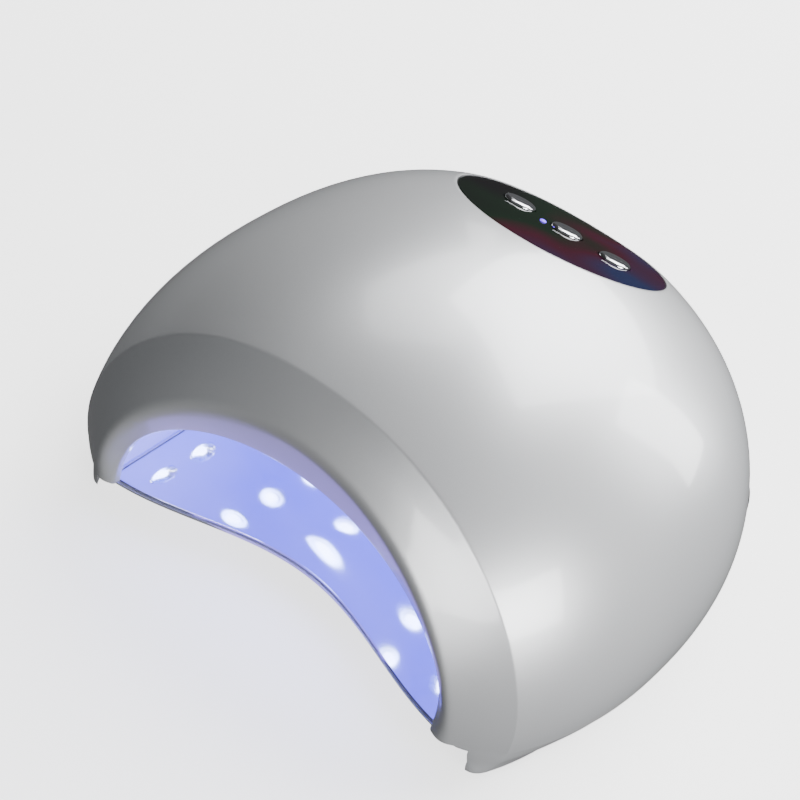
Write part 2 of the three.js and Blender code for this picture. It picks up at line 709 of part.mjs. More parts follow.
function trayOutline(level) {
  const points = traySide(level);
  const cornerX = points[0].x - level.cornerX;
  for (let j = 0; j <= FRONT_EDGE_COLUMNS; j++) {
    const x = lerp(-cornerX, cornerX, j / FRONT_EDGE_COLUMNS);
    const curve = TRAY.bite * (1 + cos((PI * x) / cornerX));
    points.push(v3(x, TRAY.frontY + level.setback + curve, level.z));
  }
  return points;
}

// A closed form through level outlines that run clockwise seen from above.
const loft = (rows) =>
  new Surface().grid(rows.map(ring)).plate(rows[0], -1).plate(rows.at(-1), 1);

// The cavity's outline on the floor, carried forward past the tray's front edge.
function floorOutline(grow) {
  const outline = cavityOutline(grow);
  const [first, last] = [outline[0], outline.at(-1)];
  return [v3(first.x, AHEAD_Y, 0), ...outline, v3(last.x, AHEAD_Y, 0)];
}

// Everything inside the skirt, carried forward so that the front stays open.
function hollowRow(level) {
  const side = traySide(level);
  const [first, last] = [side[0], side.at(-1)];
  return [v3(first.x, AHEAD_Y, level.z), ...side, v3(last.x, AHEAD_Y, level.z)].reverse();
}

function baseTray() {
  const above = SEAM_Z + CUT_PAST;
  const recess = prism(floorOutline(-RECESS_CLEARANCE), TRAY.top - TRAY.recess, above);
  const under = toSolid(loft(HOLLOW_LEVELS.map(hollowRow)).geometry());
  const posts = REST_POINTS.map((point) => upright(point, -1, above, BOSS_RADIUS, 18));
  const outside = loft(TRAY_LEVELS.map((level) => trayOutline(level).reverse()));
  const body = cut(toSolid(outside.geometry()), [recess]).subtract(cut(under, posts));
  const footPockets = REST_POINTS.map((point) =>
    upright(point, 0, FOOT.height + GAP, FOOT.radius + GAP));
  const keeperPockets = REST_POINTS.map((point) =>
    upright(point, TRAY.top - KEEPER_HEIGHT - GAP, above, MAGNET_RADIUS + GAP));
  return fromSolid(cut(body, [...footPockets, ...keeperPockets]));
}

function mirrorPlate() {
  const bottom = TRAY.top - TRAY.recess + GAP;
  const outline = floorOutline(-RECESS_CLEARANCE - FLANGE_CLEARANCE);
  const floor = toSolid(prism(outline, bottom, bottom + MIRROR_THICKNESS));
  const edge = trayOutline(TRAY_LEVELS.at(-1)).map((p) => v3(p.x, p.y + MIRROR_MARGIN, 0));
  return fromSolid(floor.intersect(toSolid(prism(edge, 0, SEAM_Z + CUT_PAST))));
}

function disc(point, bottom, height, radius, material) {
  return new THREE.Mesh(upright(point, bottom, bottom + height, radius, 14), material);
}

// ---- Small pieces of the housing ----
function linerScrew([x, y]) {
  const { headRadius, headHeight, radius, length } = SCREW;
  const profile = [
    [0, 0], [headRadius, 0], [headRadius, headHeight], [radius, headHeight], [radius, length - 1],
    [0, length],
  ];
  const mesh = new THREE.Mesh(turned(profile, 10), STEEL);
  mesh.position.set(x, y, LINER_BOTTOM_Z + SCREW.sunk);
  return mesh;
}

function motionSensor() {
  const { y, radius, height } = SENSOR;
  const profile = [[0, 0], [1.6, 0.2], [radius, 1.2], [radius, height], [0, height]];
  const mesh = new THREE.Mesh(turned(profile, SMALL_ROUND), BLACK_PLASTIC);
  mesh.position.set(0, y, SEAM_Z + ARCH_FOOT + LINER_ARCH.rise - 1);
  return mesh;
}

// ---- Assembly ----
const lamp = new THREE.Group();
const tray = new THREE.Group();
const housing = new THREE.Group();
const controls = new THREE.Group();
lamp.add(tray, housing);
housing.add(controls);

function place(group, name, mesh) {
  mesh.name = name;
  group.add(mesh);
}

place(tray, "base_tray", new THREE.Mesh(baseTray(), PEARL));
place(tray, "mirror_plate", new THREE.Mesh(mirrorPlate(), MIRROR));
REST_POINTS.forEach((point, i) => {
  place(tray, `rubber_foot_${i + 1}`, disc(point, 0, FOOT.height, FOOT.radius, RUBBER));
  place(tray, `keeper_disc_${i + 1}`,
    disc(point, TRAY.top - KEEPER_HEIGHT, KEEPER_HEIGHT, MAGNET_RADIUS, STEEL));
  place(housing, `housing_magnet_${i + 1}`,
    disc(point, LINER_BOTTOM_Z, MAGNET_HEIGHT, MAGNET_RADIUS, CHROME));
});

place(housing, "upper_shell", new THREE.Mesh(upperShell(), PEARL));
place(housing, "inner_liner", new THREE.Mesh(innerLiner(), WHITE_PLASTIC));
boards.forEach((board) => place(housing, `${board.name}_led_board`, ledBoard(board)));
lampStations.forEach((station, i) => {
  place(housing, `led_lamp_${String(i + 1).padStart(2, "0")}`, ledLamp(station));
});
SCREW_POINTS.forEach((point, i) => place(housing, `liner_screw_${i + 1}`, linerScrew(point)));
place(housing, "motion_sensor", motionSensor());
place(housing, "dc_jack", dcJack());
place(housing, "power_lead", powerLead());

place(controls, "control_panel", controlPanel());
place(controls, "control_board", controlBoard());
place(controls, "indicator_light", indicatorLight());
buttonPlaces.forEach((across, i) => {
  place(controls, `timer_button_${i + 1}`, timerButton(across));
  place(controls, `tact_switch_${i + 1}`, tactSwitch(across));
  place(controls, `switch_plunger_${i + 1}`, switchPlunger(across));
});

lamp.position.y = DOME_CENTRE_Y;

export default lamp;
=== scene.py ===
import math

import bmesh
import bpy
import numpy as np
from mathutils import Matrix, Quaternion, Vector


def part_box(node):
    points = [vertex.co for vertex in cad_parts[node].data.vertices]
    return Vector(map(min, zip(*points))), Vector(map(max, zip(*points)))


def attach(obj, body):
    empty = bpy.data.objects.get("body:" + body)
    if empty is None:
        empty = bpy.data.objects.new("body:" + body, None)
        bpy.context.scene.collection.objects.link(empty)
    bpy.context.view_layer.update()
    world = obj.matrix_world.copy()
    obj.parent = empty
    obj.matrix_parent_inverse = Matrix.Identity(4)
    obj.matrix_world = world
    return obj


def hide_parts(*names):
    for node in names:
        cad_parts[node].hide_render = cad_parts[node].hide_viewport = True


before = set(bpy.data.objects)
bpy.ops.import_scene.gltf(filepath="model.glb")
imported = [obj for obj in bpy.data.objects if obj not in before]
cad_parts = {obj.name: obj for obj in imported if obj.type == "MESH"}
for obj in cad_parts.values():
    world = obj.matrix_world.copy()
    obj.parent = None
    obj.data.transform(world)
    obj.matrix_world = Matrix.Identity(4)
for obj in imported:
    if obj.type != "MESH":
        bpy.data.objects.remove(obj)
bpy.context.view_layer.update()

MM = 0.001


def box_mm(node):
    low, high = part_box(node)
    return np.array(low) / MM, np.array(high) / MM


# ---- Dimensions, in millimetres ----
# The dome: a rounded plan, and a rounded rise above a belt; below the belt it tucks in
HALF_WIDTH = 100.0
HALF_DEPTH = 108.0
PLAN_POWER = 2.3
RISE_POWER = 1.9
SEAM_Z = box_mm("upper_shell")[0][2]
BELT_Z = 24.5
TOP_Z = 115.0
TUCK = 0.8
WALL = 2.4
CENTRE_Y = box_mm("upper_shell")[1][1] - HALF_DEPTH

# The two faces across the front: where they stand, how they lean, and how far they bow back
CREASE = dict(at=-57.5, lean=math.radians(-5), bow=9.2)
RIM = dict(at=-64.5, lean=math.radians(-7.6), bow=24)
CREASE_TURN = 0.7
CREASE_EASE_COLUMNS = 3
RIM_ROLL = 3.4
ARCH_FOOT = 3.2
RIM_ARCH = dict(half=68.5, rise=60.2, power=1.91)
MOUTH_ARCH = dict(half=63.5, rise=43.8, power=2.07)
MOUTH_SETBACK = 4.0
MOUTH_FOOT = dict(setback=1.0, rise=14.0)
LINER_ARCH = dict(half=67.5, rise=47.0, power=2.2)
LINER_SETBACK = 7.0
LINER_DEPTH = 130.0
LINER_END = 0.62
LINER_SQUARE = 5.0
LINER_WALL = 1.8
FLANGE_CLEARANCE = 0.4
FLANGE_THICKNESS = 2.6

PANEL_Y, PANEL_Z, PANEL_TILT = 48.2, 97.8, math.radians(-24.8)
PANEL_MARGIN = 0.8
SEAT_DEPTH = 2.1
SEAT_LEDGE_SHARE = 0.16
BUTTON_ROW = 4.2

TRAY_TOP = SEAM_Z - 0.3
TRAY_FRONT_Y = -72.0
TRAY_BITE = 8.5
TRAY_DECK = 3.0
TRAY_RECESS = 1.1
BOSS_RADIUS = 8.0
FOOT_POCKET = dict(radius=6.3, depth=3.3)
DISC_HOLE_RADIUS = 4.3
SCREW_HOLE_RADIUS = 3.0
AHEAD_Y = -120.0

FRONT_COLUMNS = 150
BACK_COLUMNS = 130
DOME_ROWS = 34
INNER_ROWS = 10
ROW_CROWDING = 1.15
FAR = 220


# ---- The dome ----
def drawn_in(inset, z):
    """How far the plan is drawn in at a height: its inset, and the tuck below the belt."""
    share = np.clip((BELT_Z - z) / (BELT_Z - SEAM_Z), 0, 1)
    return inset + TUCK * share**2


def signed_power(value, power):
    return np.sign(value) * np.abs(value) ** power


def plan_point(bearing, inset, z):
    total = drawn_in(inset, z)
    x = (HALF_WIDTH - total) * signed_power(np.cos(bearing), 2 / PLAN_POWER)
    y = (HALF_DEPTH - total) * signed_power(np.sin(bearing), 2 / PLAN_POWER)
    return np.stack([x, y, np.full_like(x, z)], -1)


def dome_value(p, inset):
    """Below 1 inside the dome, above 1 outside it."""
    total = drawn_in(inset, p[..., 2])
    plan = np.abs(p[..., 0] / (HALF_WIDTH - total)) ** PLAN_POWER
    plan = plan + np.abs(p[..., 1] / (HALF_DEPTH - total)) ** PLAN_POWER
    rise = np.maximum(0, p[..., 2] - BELT_Z) / (TOP_Z - inset - BELT_Z)
    return plan ** (RISE_POWER / PLAN_POWER) + rise**RISE_POWER


def reach(inside, count, far):
    """The distance at which each of count rays leaves a form, by halving."""
    near, out = np.zeros(count), np.full(count, float(far))
    for _ in range(44):
        middle = (near + out) / 2
        within = inside(middle)
        near, out = np.where(within, middle, near), np.where(within, out, middle)
    return (near + out) / 2


HUB = np.array([0.0, 0.0, BELT_Z])


def dome_along(direction, inset):
    return direction * reach(
        lambda r: dome_value(HUB + direction * r[:, None], inset) < 1, len(direction), FAR
    )[:, None] + HUB


# ---- The front ----
def on_face(face, x, height, setback=0.0):
    y = face["at"] + math.tan(face["lean"]) * height - face["bow"] * (x / HALF_WIDTH) ** 2
    return np.stack([x, y + setback, SEAM_Z + height], -1)


FRONT_ANGLES = np.linspace(0, math.pi, FRONT_COLUMNS + 1)


def crease_row(inset):
    def along(r):
        return on_face(CREASE, r * np.cos(FRONT_ANGLES), r * np.sin(FRONT_ANGLES))

    return along(reach(lambda r: dome_value(along(r), inset) < 1, len(FRONT_ANGLES), FAR))


def arch_points(angles, arch, grow=0.0, scale=1.0):
    half, rise = arch["half"] * scale + grow, arch["rise"] * scale + grow

    def inside(r):
        across = np.abs(r * np.cos(angles) / half) ** arch["power"]
        up = (np.maximum(0, r * np.sin(angles) - ARCH_FOOT) / rise) ** arch["power"]
        return across + up < 1

    r = reach(inside, len(angles), FAR)
    return r * np.cos(angles), r * np.sin(angles)


def arch_row(arch, setback, grow=0.0):
    x, height = arch_points(FRONT_ANGLES, arch, grow)
    return on_face(RIM, x, height, setback)


def mouth_row(extra, grow=0.0):
    """The mouth's edge, which comes forward at its two feet."""
    x, height = arch_points(FRONT_ANGLES, MOUTH_ARCH, grow)
    share = np.clip(height / MOUTH_FOOT["rise"], 0, 1)
    setback = MOUTH_FOOT["setback"] + (MOUTH_SETBACK - MOUTH_FOOT["setback"]) * share
    return on_face(RIM, x, height, setback + extra)


# ---- The panel's plane ----
PANEL_AT = np.array([0.0, PANEL_Y, PANEL_Z])
PANEL_ACROSS = np.array([1.0, 0.0, 0.0])
PANEL_BACK = np.array([0.0, math.cos(PANEL_TILT), math.sin(PANEL_TILT)])
PANEL_UP = np.array([0.0, -math.sin(PANEL_TILT), math.cos(PANEL_TILT)])


def on_panel(across, back, level):
    across, back = np.asarray(across, float), np.asarray(back, float)
    return (
        PANEL_AT
        + across[..., None] * PANEL_ACROSS
        + back[..., None] * PANEL_BACK
        + level * PANEL_UP
    )


def panel_edge(angles, level, inset, margin=0.0):
    def along(r):
        return on_panel(r * np.cos(angles), r * np.sin(angles), level)

    r = reach(lambda r: dome_value(along(r), inset) < 1, len(angles), 90)
    return along(r - margin)


# ---- Mesh making ----
def place(points):
    return (np.asarray(points, float) + [0, CENTRE_Y, 0]) * MM


def link(name, data):
    obj = bpy.data.objects.new(name, data)
    bpy.context.collection.objects.link(obj)
    return obj


def make_object(name, vertices, faces, material, smooth_angle=None):
    mesh = bpy.data.meshes.new(name)
    mesh.from_pydata([tuple(v) for v in vertices], [], faces)
    work = bmesh.new()
    work.from_mesh(mesh)
    bmesh.ops.remove_doubles(work, verts=work.verts, dist=1e-6)
    bmesh.ops.dissolve_degenerate(work, edges=work.edges, dist=1e-7)
    bmesh.ops.recalc_face_normals(work, faces=work.faces)
    work.to_mesh(mesh)
    work.free()
    obj = link(name, mesh)
    mesh.materials.append(material)
    mesh.shade_smooth()
    if smooth_angle is not None:
        mesh.set_sharp_from_angle(angle=math.radians(smooth_angle))
    return obj


class Builder:
    """Collects grids and caps of millimetre points around the dome's middle."""

    def __init__(self):
        self.vertices, self.faces = [], []

    def grid(self, rows, closed=False):
        start, width = len(self.vertices), len(rows[0])
        for row in rows:
            self.vertices.extend(place(row))
        for i in range(len(rows) - 1):
            for j in range(width if closed else width - 1):
                a, b = start + i * width + j, start + i * width + (j + 1) % width
                self.faces.append((a, b, b + width, a + width))
        return self

    def cap(self, row):
        start = len(self.vertices)
        self.vertices.extend(place(row))
        self.faces.append(tuple(range(start, start + len(row))))
        return self

    def build(self, name, material, smooth_angle=None):
        return make_object(name, self.vertices, self.faces, material, smooth_angle)


def lathe(name, profile, material, segments=64, smooth_angle=32):
    """A turned piece about its own +Z axis; profile is [(radius, height)] in millimetres."""
    turns = np.linspace(0, 2 * math.pi, segments, endpoint=False)
    vertices, faces, rings = [], [], []
    for radius, height in profile:
        if radius < 1e-6:
            rings.append([len(vertices)])
            vertices.append((0, 0, height * MM))
        else:
            rings.append(list(range(len(vertices), len(vertices) + segments)))
            vertices += [
                (radius * MM * math.cos(t), radius * MM * math.sin(t), height * MM) for t in turns
            ]
    for low, high in zip(rings, rings[1:]):
        for j in range(segments):
            k = (j + 1) % segments
            near, far = low[j % len(low)], low[k % len(low)]
            face = list(dict.fromkeys([near, far, high[k % len(high)], high[j % len(high)]]))
            if len(face) > 2:
                faces.append(face)
    return make_object(name, vertices, faces, material, smooth_angle)


def rounded(profile, radius, steps=5):
    """Rounds the inner corners of an open outline."""
    points = [np.array(p, float) for p in profile]
    result = [points[0]]
    for before, corner, after in zip(points, points[1:], points[2:]):
        to_a, to_b = before - corner, after - corner
        cut = min(radius, np.linalg.norm(to_a) * 0.45, np.linalg.norm(to_b) * 0.45)
        start = corner + to_a / np.linalg.norm(to_a) * cut
        end = corner + to_b / np.linalg.norm(to_b) * cut
        for t in np.linspace(0, 1, steps):
            result.append((1 - t) ** 2 * start + 2 * t * (1 - t) * corner + t * t * end)
    result.append(points[-1])
    return [tuple(p) for p in result]


def settle(obj, at, up, body, nodes=()):
    """Stands a turned piece at a point in millimetres, its axis along up."""
    turn = Vector((0, 0, 1)).rotation_difference(Vector(up)).to_matrix().to_4x4()
    obj.data.transform(Matrix.Translation(Vector(at) * MM) @ turn)
    return hand_over(obj, body, nodes)


def stand_on(node):
    """The middle of a node's underside, in millimetres."""
    low, high = box_mm(node)
    return (low[0] + high[0]) / 2, (low[1] + high[1]) / 2, low[2]


def smooth(obj, sharp_angle):
    obj.data.shade_smooth()
    obj.data.set_sharp_from_angle(angle=math.radians(sharp_angle))


def hand_over(obj, body, nodes=()):
    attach(obj, body)
    if nodes:
        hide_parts(*nodes)
    return obj


# ---- Materials ----
def new_material(name):
    material = bpy.data.materials.new(name)
    material.use_nodes = True
    shader = material.node_tree.nodes["Principled BSDF"]
    return material, material.node_tree, shader


def add_node(tree, kind, **values):
    node = tree.nodes.new(kind)
    for key, value in values.items():
        if key in node.inputs:
            node.inputs[key].default_value = value
        else:
            setattr(node, key, value)
    return node


def object_noise(tree, scale, detail=3.0, roughness=0.5):
    place_node = add_node(tree, "ShaderNodeTexCoord")
    noise = add_node(tree, "ShaderNodeTexNoise", Scale=scale, Detail=detail, Roughness=roughness)
    tree.links.new(place_node.outputs["Object"], noise.inputs["Vector"])
    return noise


def ramp_between(tree, source, low, high, start=0.35, end=0.65):
    ramp = add_node(tree, "ShaderNodeValToRGB")
    first, last = ramp.color_ramp.elements
    first.position, last.position = start, end
    first.color, last.color = (*low, 1), (*high, 1)
    tree.links.new(source, ramp.inputs["Fac"])
    return ramp


def vary_roughness(tree, shader, source, low, high):
    spread = add_node(tree, "ShaderNodeMapRange")
    spread.inputs["To Min"].default_value = low
    spread.inputs["To Max"].default_value = high
    tree.links.new(source, spread.inputs["Value"])
    tree.links.new(spread.outputs["Result"], shader.inputs["Roughness"])


def add_bump(tree, shader, source, strength, distance):
    bump = add_node(tree, "ShaderNodeBump", Strength=strength, Distance=distance)
    tree.links.new(source, bump.inputs["Height"])
    tree.links.new(bump.outputs["Normal"], shader.inputs["Normal"])


def plain_finish(name, low, high, scale, rough, bump, metallic=0.0):
    """A moulded or plated finish: mottled colour, uneven roughness and a fine skin."""
    material, tree, shader = new_material(name)
    noise = object_noise(tree, scale)
    ramp = ramp_between(tree, noise.outputs["Fac"], low, high)
    tree.links.new(ramp.outputs["Color"], shader.inputs["Base Color"])
    vary_roughness(tree, shader, noise.outputs["Fac"], *rough)
    skin = object_noise(tree, bump[0], detail=2.0)
    add_bump(tree, shader, skin.outputs["Fac"], bump[1], bump[2])
    shader.inputs["Metallic"].default_value = metallic
    return material


def pearl_paint():
    """Glossy paint over fine pearl flakes."""
    material, tree, shader = new_material("pearl_paint")
    cloud = object_noise(tree, 9.0, detail=2.0)
    tone = ramp_between(tree, cloud.outputs["Fac"], (0.74, 0.755, 0.775), (0.79, 0.80, 0.815))
    flake = object_noise(tree, 5200.0, detail=1.0)
    spark = ramp_between(tree, flake.outputs["Fac"], (0.95, 0.95, 0.955), (1.0, 1.0, 1.0), 0.3, 0.72)
    blend = add_node(tree, "ShaderNodeMix", data_type="RGBA", blend_type="MULTIPLY")
    blend.inputs["Factor"].default_value = 1.0
    tree.links.new(tone.outputs["Color"], blend.inputs[6])
    tree.links.new(spark.outputs["Color"], blend.inputs[7])
    tree.links.new(blend.outputs[2], shader.inputs["Base Color"])
    vary_roughness(tree, shader, cloud.outputs["Fac"], 0.34, 0.42)
    skin = object_noise(tree, 900.0, detail=1.0)
    add_bump(tree, shader, skin.outputs["Fac"], 0.05, 0.0002)
    shader.inputs["Metallic"].default_value = 0.5
    shader.inputs["Coat Weight"].default_value = 0.8
    shader.inputs["Coat Roughness"].default_value = 0.07
    shader.inputs["Coat IOR"].default_value = 1.5
    return material


def reflector_painted_glow_finish():
    """White reflector moulding, with the lamps' violet light painted in: a violet base colour and a
    violet glow.
    """
    material, tree, shader = new_material("reflector_white")
    noise = object_noise(tree, 26.0)
    # Painted lamp light: the base colour is violet and stands in for the lamps' light on the white
    # moulding
    ramp = ramp_between(tree, noise.outputs["Fac"], (0.36, 0.36, 0.97), (0.45, 0.45, 1.0))
    tree.links.new(ramp.outputs["Color"], shader.inputs["Base Color"])
    # Painted glow: the moulding is no lamp, and its violet emission stands in for the lamps' light
    glow = ramp_between(tree, noise.outputs["Fac"], (0.21, 0.19, 1.0), (0.28, 0.26, 1.0))
    tree.links.new(glow.outputs["Color"], shader.inputs["Emission Color"])
    shader.inputs["Emission Strength"].default_value = 0.92
    vary_roughness(tree, shader, noise.outputs["Fac"], 0.22, 0.36)
    skin = object_noise(tree, 1500.0, detail=2.0)
    add_bump(tree, shader, skin.outputs["Fac"], 0.1, 0.0002)
    return material


def mirror_finish():
    """Polished sheet with the lamps' violet light painted into its colour as a violet tint, and a
    faint ripple.
    """
    material, tree, shader = new_material("mirror_sheet")
    noise = object_noise(tree, 14.0, detail=2.0)
    # Painted lamp light: the metal's violet tint stands in for the lamps' light reflected in it
    ramp = ramp_between(tree, noise.outputs["Fac"], (0.72, 0.73, 0.97), (0.78, 0.79, 1.0))
    tree.links.new(ramp.outputs["Color"], shader.inputs["Base Color"])
    shader.inputs["Metallic"].default_value = 1.0
    vary_roughness(tree, shader, noise.outputs["Fac"], 0.05, 0.10)
    ripple = object_noise(tree, 60.0, detail=1.0)
    add_bump(tree, shader, ripple.outputs["Fac"], 0.03, 0.0004)
    return material


# The panel's black, then painted reflections: green, wine and navy tints that stand in for coloured
# light reflected in it
PANEL_BLACK_AND_PAINTED_REFLECTIONS = (
    (0.001, 0.0005, 0.0007), (0.001, 0.008, 0.002), (0.030, 0.001, 0.008), (0.008, 0.012, 0.045),
)


def panel_gloss():
    """Black acrylic with painted coloured reflections: its tint drifts from black through green and
    wine to navy along X.
    """
    material, tree, shader = new_material("panel_black")
    place_node = add_node(tree, "ShaderNodeTexCoord")
    split = add_node(tree, "ShaderNodeSeparateXYZ")
    tree.links.new(place_node.outputs["Object"], split.inputs["Vector"])
    drift = object_noise(tree, 30.0, detail=1.0)
    along = add_node(tree, "ShaderNodeMath", operation="MULTIPLY_ADD")
    along.inputs[1].default_value = 12.0
    tree.links.new(split.outputs["X"], along.inputs[0])
    tree.links.new(drift.outputs["Fac"], along.inputs[2])
    black, green, wine, navy = PANEL_BLACK_AND_PAINTED_REFLECTIONS
    # Painted reflection: the tint runs along X, so the panel's gleam is fixed in its colour
    ramp = ramp_between(tree, along.outputs["Value"], black, navy, 0.1, 0.95)
    for position, tint in ((0.42, green), (0.62, wine)):
        stop = ramp.color_ramp.elements.new(position)
        stop.color = (*tint, 1)
    tree.links.new(ramp.outputs["Color"], shader.inputs["Base Color"])
    vary_roughness(tree, shader, drift.outputs["Fac"], 0.03, 0.07)
    skin = object_noise(tree, 80.0, detail=1.0)
    add_bump(tree, shader, skin.outputs["Fac"], 0.02, 0.0002)
    shader.inputs["IOR"].default_value = 1.12
    return material


def lens_finish(name, tint, strength):
    """A clear lens with its lamp alight behind it."""
    material, tree, shader = new_material(name)
    noise = object_noise(tree, 300.0, detail=1.0)
    ramp = ramp_between(tree, noise.outputs["Fac"], tint, tuple(min(1.0, c * 1.25) for c in tint))
    tree.links.new(ramp.outputs["Color"], shader.inputs["Base Color"])
    tree.links.new(ramp.outputs["Color"], shader.inputs["Emission Color"])
    vary_roughness(tree, shader, noise.outputs["Fac"], 0.06, 0.14)
    shader.inputs["Emission Strength"].default_value = strength
    return material


PEARL = pearl_paint()
REFLECTOR_PAINTED_GLOW = reflector_painted_glow_finish()
MIRROR = mirror_finish()
PANEL = panel_gloss()
LENS = lens_finish("lamp_lens", (0.62, 0.72, 1.0), 12.0)
INDICATOR_LENS = lens_finish("indicator_lens", (0.16, 0.07, 1.0), 2.4)
# Name, the two tones, their scale, the range of roughness, the skin's bump, and metallic
CHROME = plain_finish(
    "button_chrome", (0.72, 0.73, 0.75), (0.80, 0.81, 0.83),
    60, (0.06, 0.12), (900, 0.04, 0.0001), 1.0,
)
CUP_METAL = plain_finish(
    "lamp_cup", (0.74, 0.80, 1.0), (0.82, 0.88, 1.0),
    90, (0.12, 0.24), (900, 0.05, 0.0001), 0.85,
)
STEEL = plain_finish(
    "plated_steel", (0.42, 0.43, 0.45), (0.55, 0.56, 0.58),
    200, (0.25, 0.42), (1400, 0.15, 0.0001), 1.0,
)
NICKEL = plain_finish(
    "magnet_nickel", (0.56, 0.55, 0.52), (0.66, 0.65, 0.61),
    160, (0.18, 0.3), (1200, 0.1, 0.0001), 1.0,
)
RUBBER = plain_finish(
    "foot_rubber", (0.035, 0.036, 0.04), (0.06, 0.06, 0.065),
    120, (0.7, 0.88), (2200, 0.5, 0.0002),
)
BLACK = plain_finish(
    "black_plastic", (0.012, 0.012, 0.014), (0.022, 0.022, 0.025),
    140, (0.34, 0.5), (2600, 0.25, 0.0001),
)
LEAD = plain_finish(
    "lead_jacket", (0.014, 0.014, 0.017), (0.028, 0.028, 0.03),
    180, (0.5, 0.62), (1800, 0.3, 0.0001),
)
PRINT = plain_finish(
    "panel_print", (0.50, 0.51, 0.54), (0.62, 0.63, 0.66),
    400, (0.4, 0.5), (1500, 0.1, 0.0001),
)


def board_finish(name, low, high, track):
    """A circuit board: solder mask with the tracks showing faintly through it."""
    material, tree, shader = new_material(name)
    noise = object_noise(tree, 90.0)
    mask = ramp_between(tree, noise.outputs["Fac"], low, high)
    spot = add_node(tree, "ShaderNodeTexCoord")
    cells = add_node(tree, "ShaderNodeTexVoronoi", Scale=160.0)
    cells.feature = "DISTANCE_TO_EDGE"
    tree.links.new(spot.outputs["Object"], cells.inputs["Vector"])
    lines = ramp_between(tree, cells.outputs["Distance"], (1, 1, 1), (0, 0, 0), 0.03, 0.06)
    blend = add_node(tree, "ShaderNodeMix", data_type="RGBA")
    tree.links.new(lines.outputs["Color"], blend.inputs["Factor"])
    tree.links.new(mask.outputs["Color"], blend.inputs[6])
    blend.inputs[7].default_value = (*track, 1)
    tree.links.new(blend.outputs[2], shader.inputs["Base Color"])
    vary_roughness(tree, shader, noise.outputs["Fac"], 0.35, 0.5)
    add_bump(tree, shader, lines.outputs["Color"], 0.2, 0.0001)
    return material


BOARD_WHITE = board_finish(
    "board_white", (0.62, 0.64, 0.60), (0.70, 0.72, 0.68), (0.50, 0.52, 0.46)
)
BOARD_GREEN = board_finish(
    "board_green", (0.012, 0.10, 0.045), (0.02, 0.14, 0.06), (0.05, 0.22, 0.10)
)


# ---- Painted shell ----
def unit_rows(rows):
    return rows / np.linalg.norm(rows, axis=1)[:, None]


def skirt_rows(inset):
    """The dome's lowest row: the crease, and the seam round the back."""
    front = crease_row(inset)
    foot = (np.abs(front[0, 1]) / (HALF_DEPTH - drawn_in(inset, SEAM_Z))) ** (PLAN_POWER / 2)
    right = -math.asin(foot)
    shares = np.arange(1, BACK_COLUMNS) / BACK_COLUMNS
    back = plan_point(math.pi - right + (2 * right - math.pi) * shares, inset, SEAM_Z)
    return front, back


def dome_rows(inset, level, count):
    """Rows from the crease and the seam up to the panel, each one a closed loop."""
    front, back = skirt_rows(inset)
    low = np.vstack([front, back])
    angles = np.arctan2(low[:, 1] - PANEL_Y, low[:, 0])
    high = panel_edge(angles, level, inset)
    start, end = unit_rows(low - HUB), unit_rows(high - HUB)
    arc = np.arccos(np.clip((start * end).sum(1), -1, 1))[:, None]
    rows = [low]
    for i in range(1, count):
        t = (i / count) ** ROW_CROWDING
        direction = (np.sin((1 - t) * arc) * start + np.sin(t * arc) * end) / np.sin(arc)
        rows.append(dome_along(unit_rows(direction), inset))
    rows.append(high)
    return rows


def between(a, b, t):
    return a + (b - a) * t


def curve_through(start, bend, end, steps):
    """Rows along a soft turn from start to end that leans towards bend."""
    shares = np.linspace(0, 1, steps)
    return [(1 - t) ** 2 * start + 2 * t * (1 - t) * bend + t * t * end for t in shares]


def seat_rows(foot):
    """The panel's seat: a rounded lip inside the dome's edge, and the row at its floor."""
    angles = np.arctan2(foot[:, 1] - PANEL_Y, foot[:, 0])
    edge = panel_edge(angles, 0.0, 0.0)
    lip = panel_edge(angles, 0.0, 0.0, PANEL_MARGIN)
    outside = edge + unit_rows(edge - PANEL_AT) * 0.5 - PANEL_UP * 0.25
    turn = curve_through(outside, edge, lip - PANEL_UP * 0.12, 5)
    return turn, lip - PANEL_UP * SEAT_DEPTH


def crease_rows(crease, above, rim):
    """The crease, as a soft turn from the dome to the band that dies out at its feet."""
    column = np.arange(FRONT_COLUMNS + 1)
    ends = np.minimum(column, FRONT_COLUMNS - column)
    ease = np.clip(ends / CREASE_EASE_COLUMNS, 0, 1)[:, None]
    top = between(crease, crease + unit_rows(above - crease) * CREASE_TURN, ease)
    low = crease + unit_rows(rim - crease) * CREASE_TURN
    return curve_through(top, crease, low, 6)


def band_rows(start, end):
    """The band between the crease and the rim, which bellies out a little."""
    middle = (start + end) / 2
    swell = unit_rows(middle - np.array([0.0, 10.0, SEAM_Z + 20])) * 0.35
    return [between(start, end, t) + swell * (4 * t * (1 - t)) for t in np.linspace(0, 1, 8)]


def mouth_rows(crease, start, rim, inner_front):
    """The band, the rolled rim, the lip and the mouth's edge, and back along the inside."""
    lip_in, mouth = mouth_row(-0.6, 0.9), mouth_row(0.4)
    rim_start = rim - unit_rows(rim - crease) * RIM_ROLL
    rim_end = rim + unit_rows(lip_in - rim) * RIM_ROLL
    band = band_rows(start, rim_start)
    rim_turn = curve_through(rim_start, rim, rim_end, 8)
    lip = [between(rim_end, lip_in, t) for t in np.linspace(0, 1, 6)]
    mouth_turn = curve_through(lip_in, mouth_row(-0.4), mouth, 4)
    inside = [mouth_row(WALL), arch_row(RIM_ARCH, WALL, -WALL), inner_front]
    return band[1:] + rim_turn[1:] + lip[1:] + mouth_turn[1:] + inside


def seam_back(row):
    return np.vstack([row[FRONT_COLUMNS:], row[:1]])


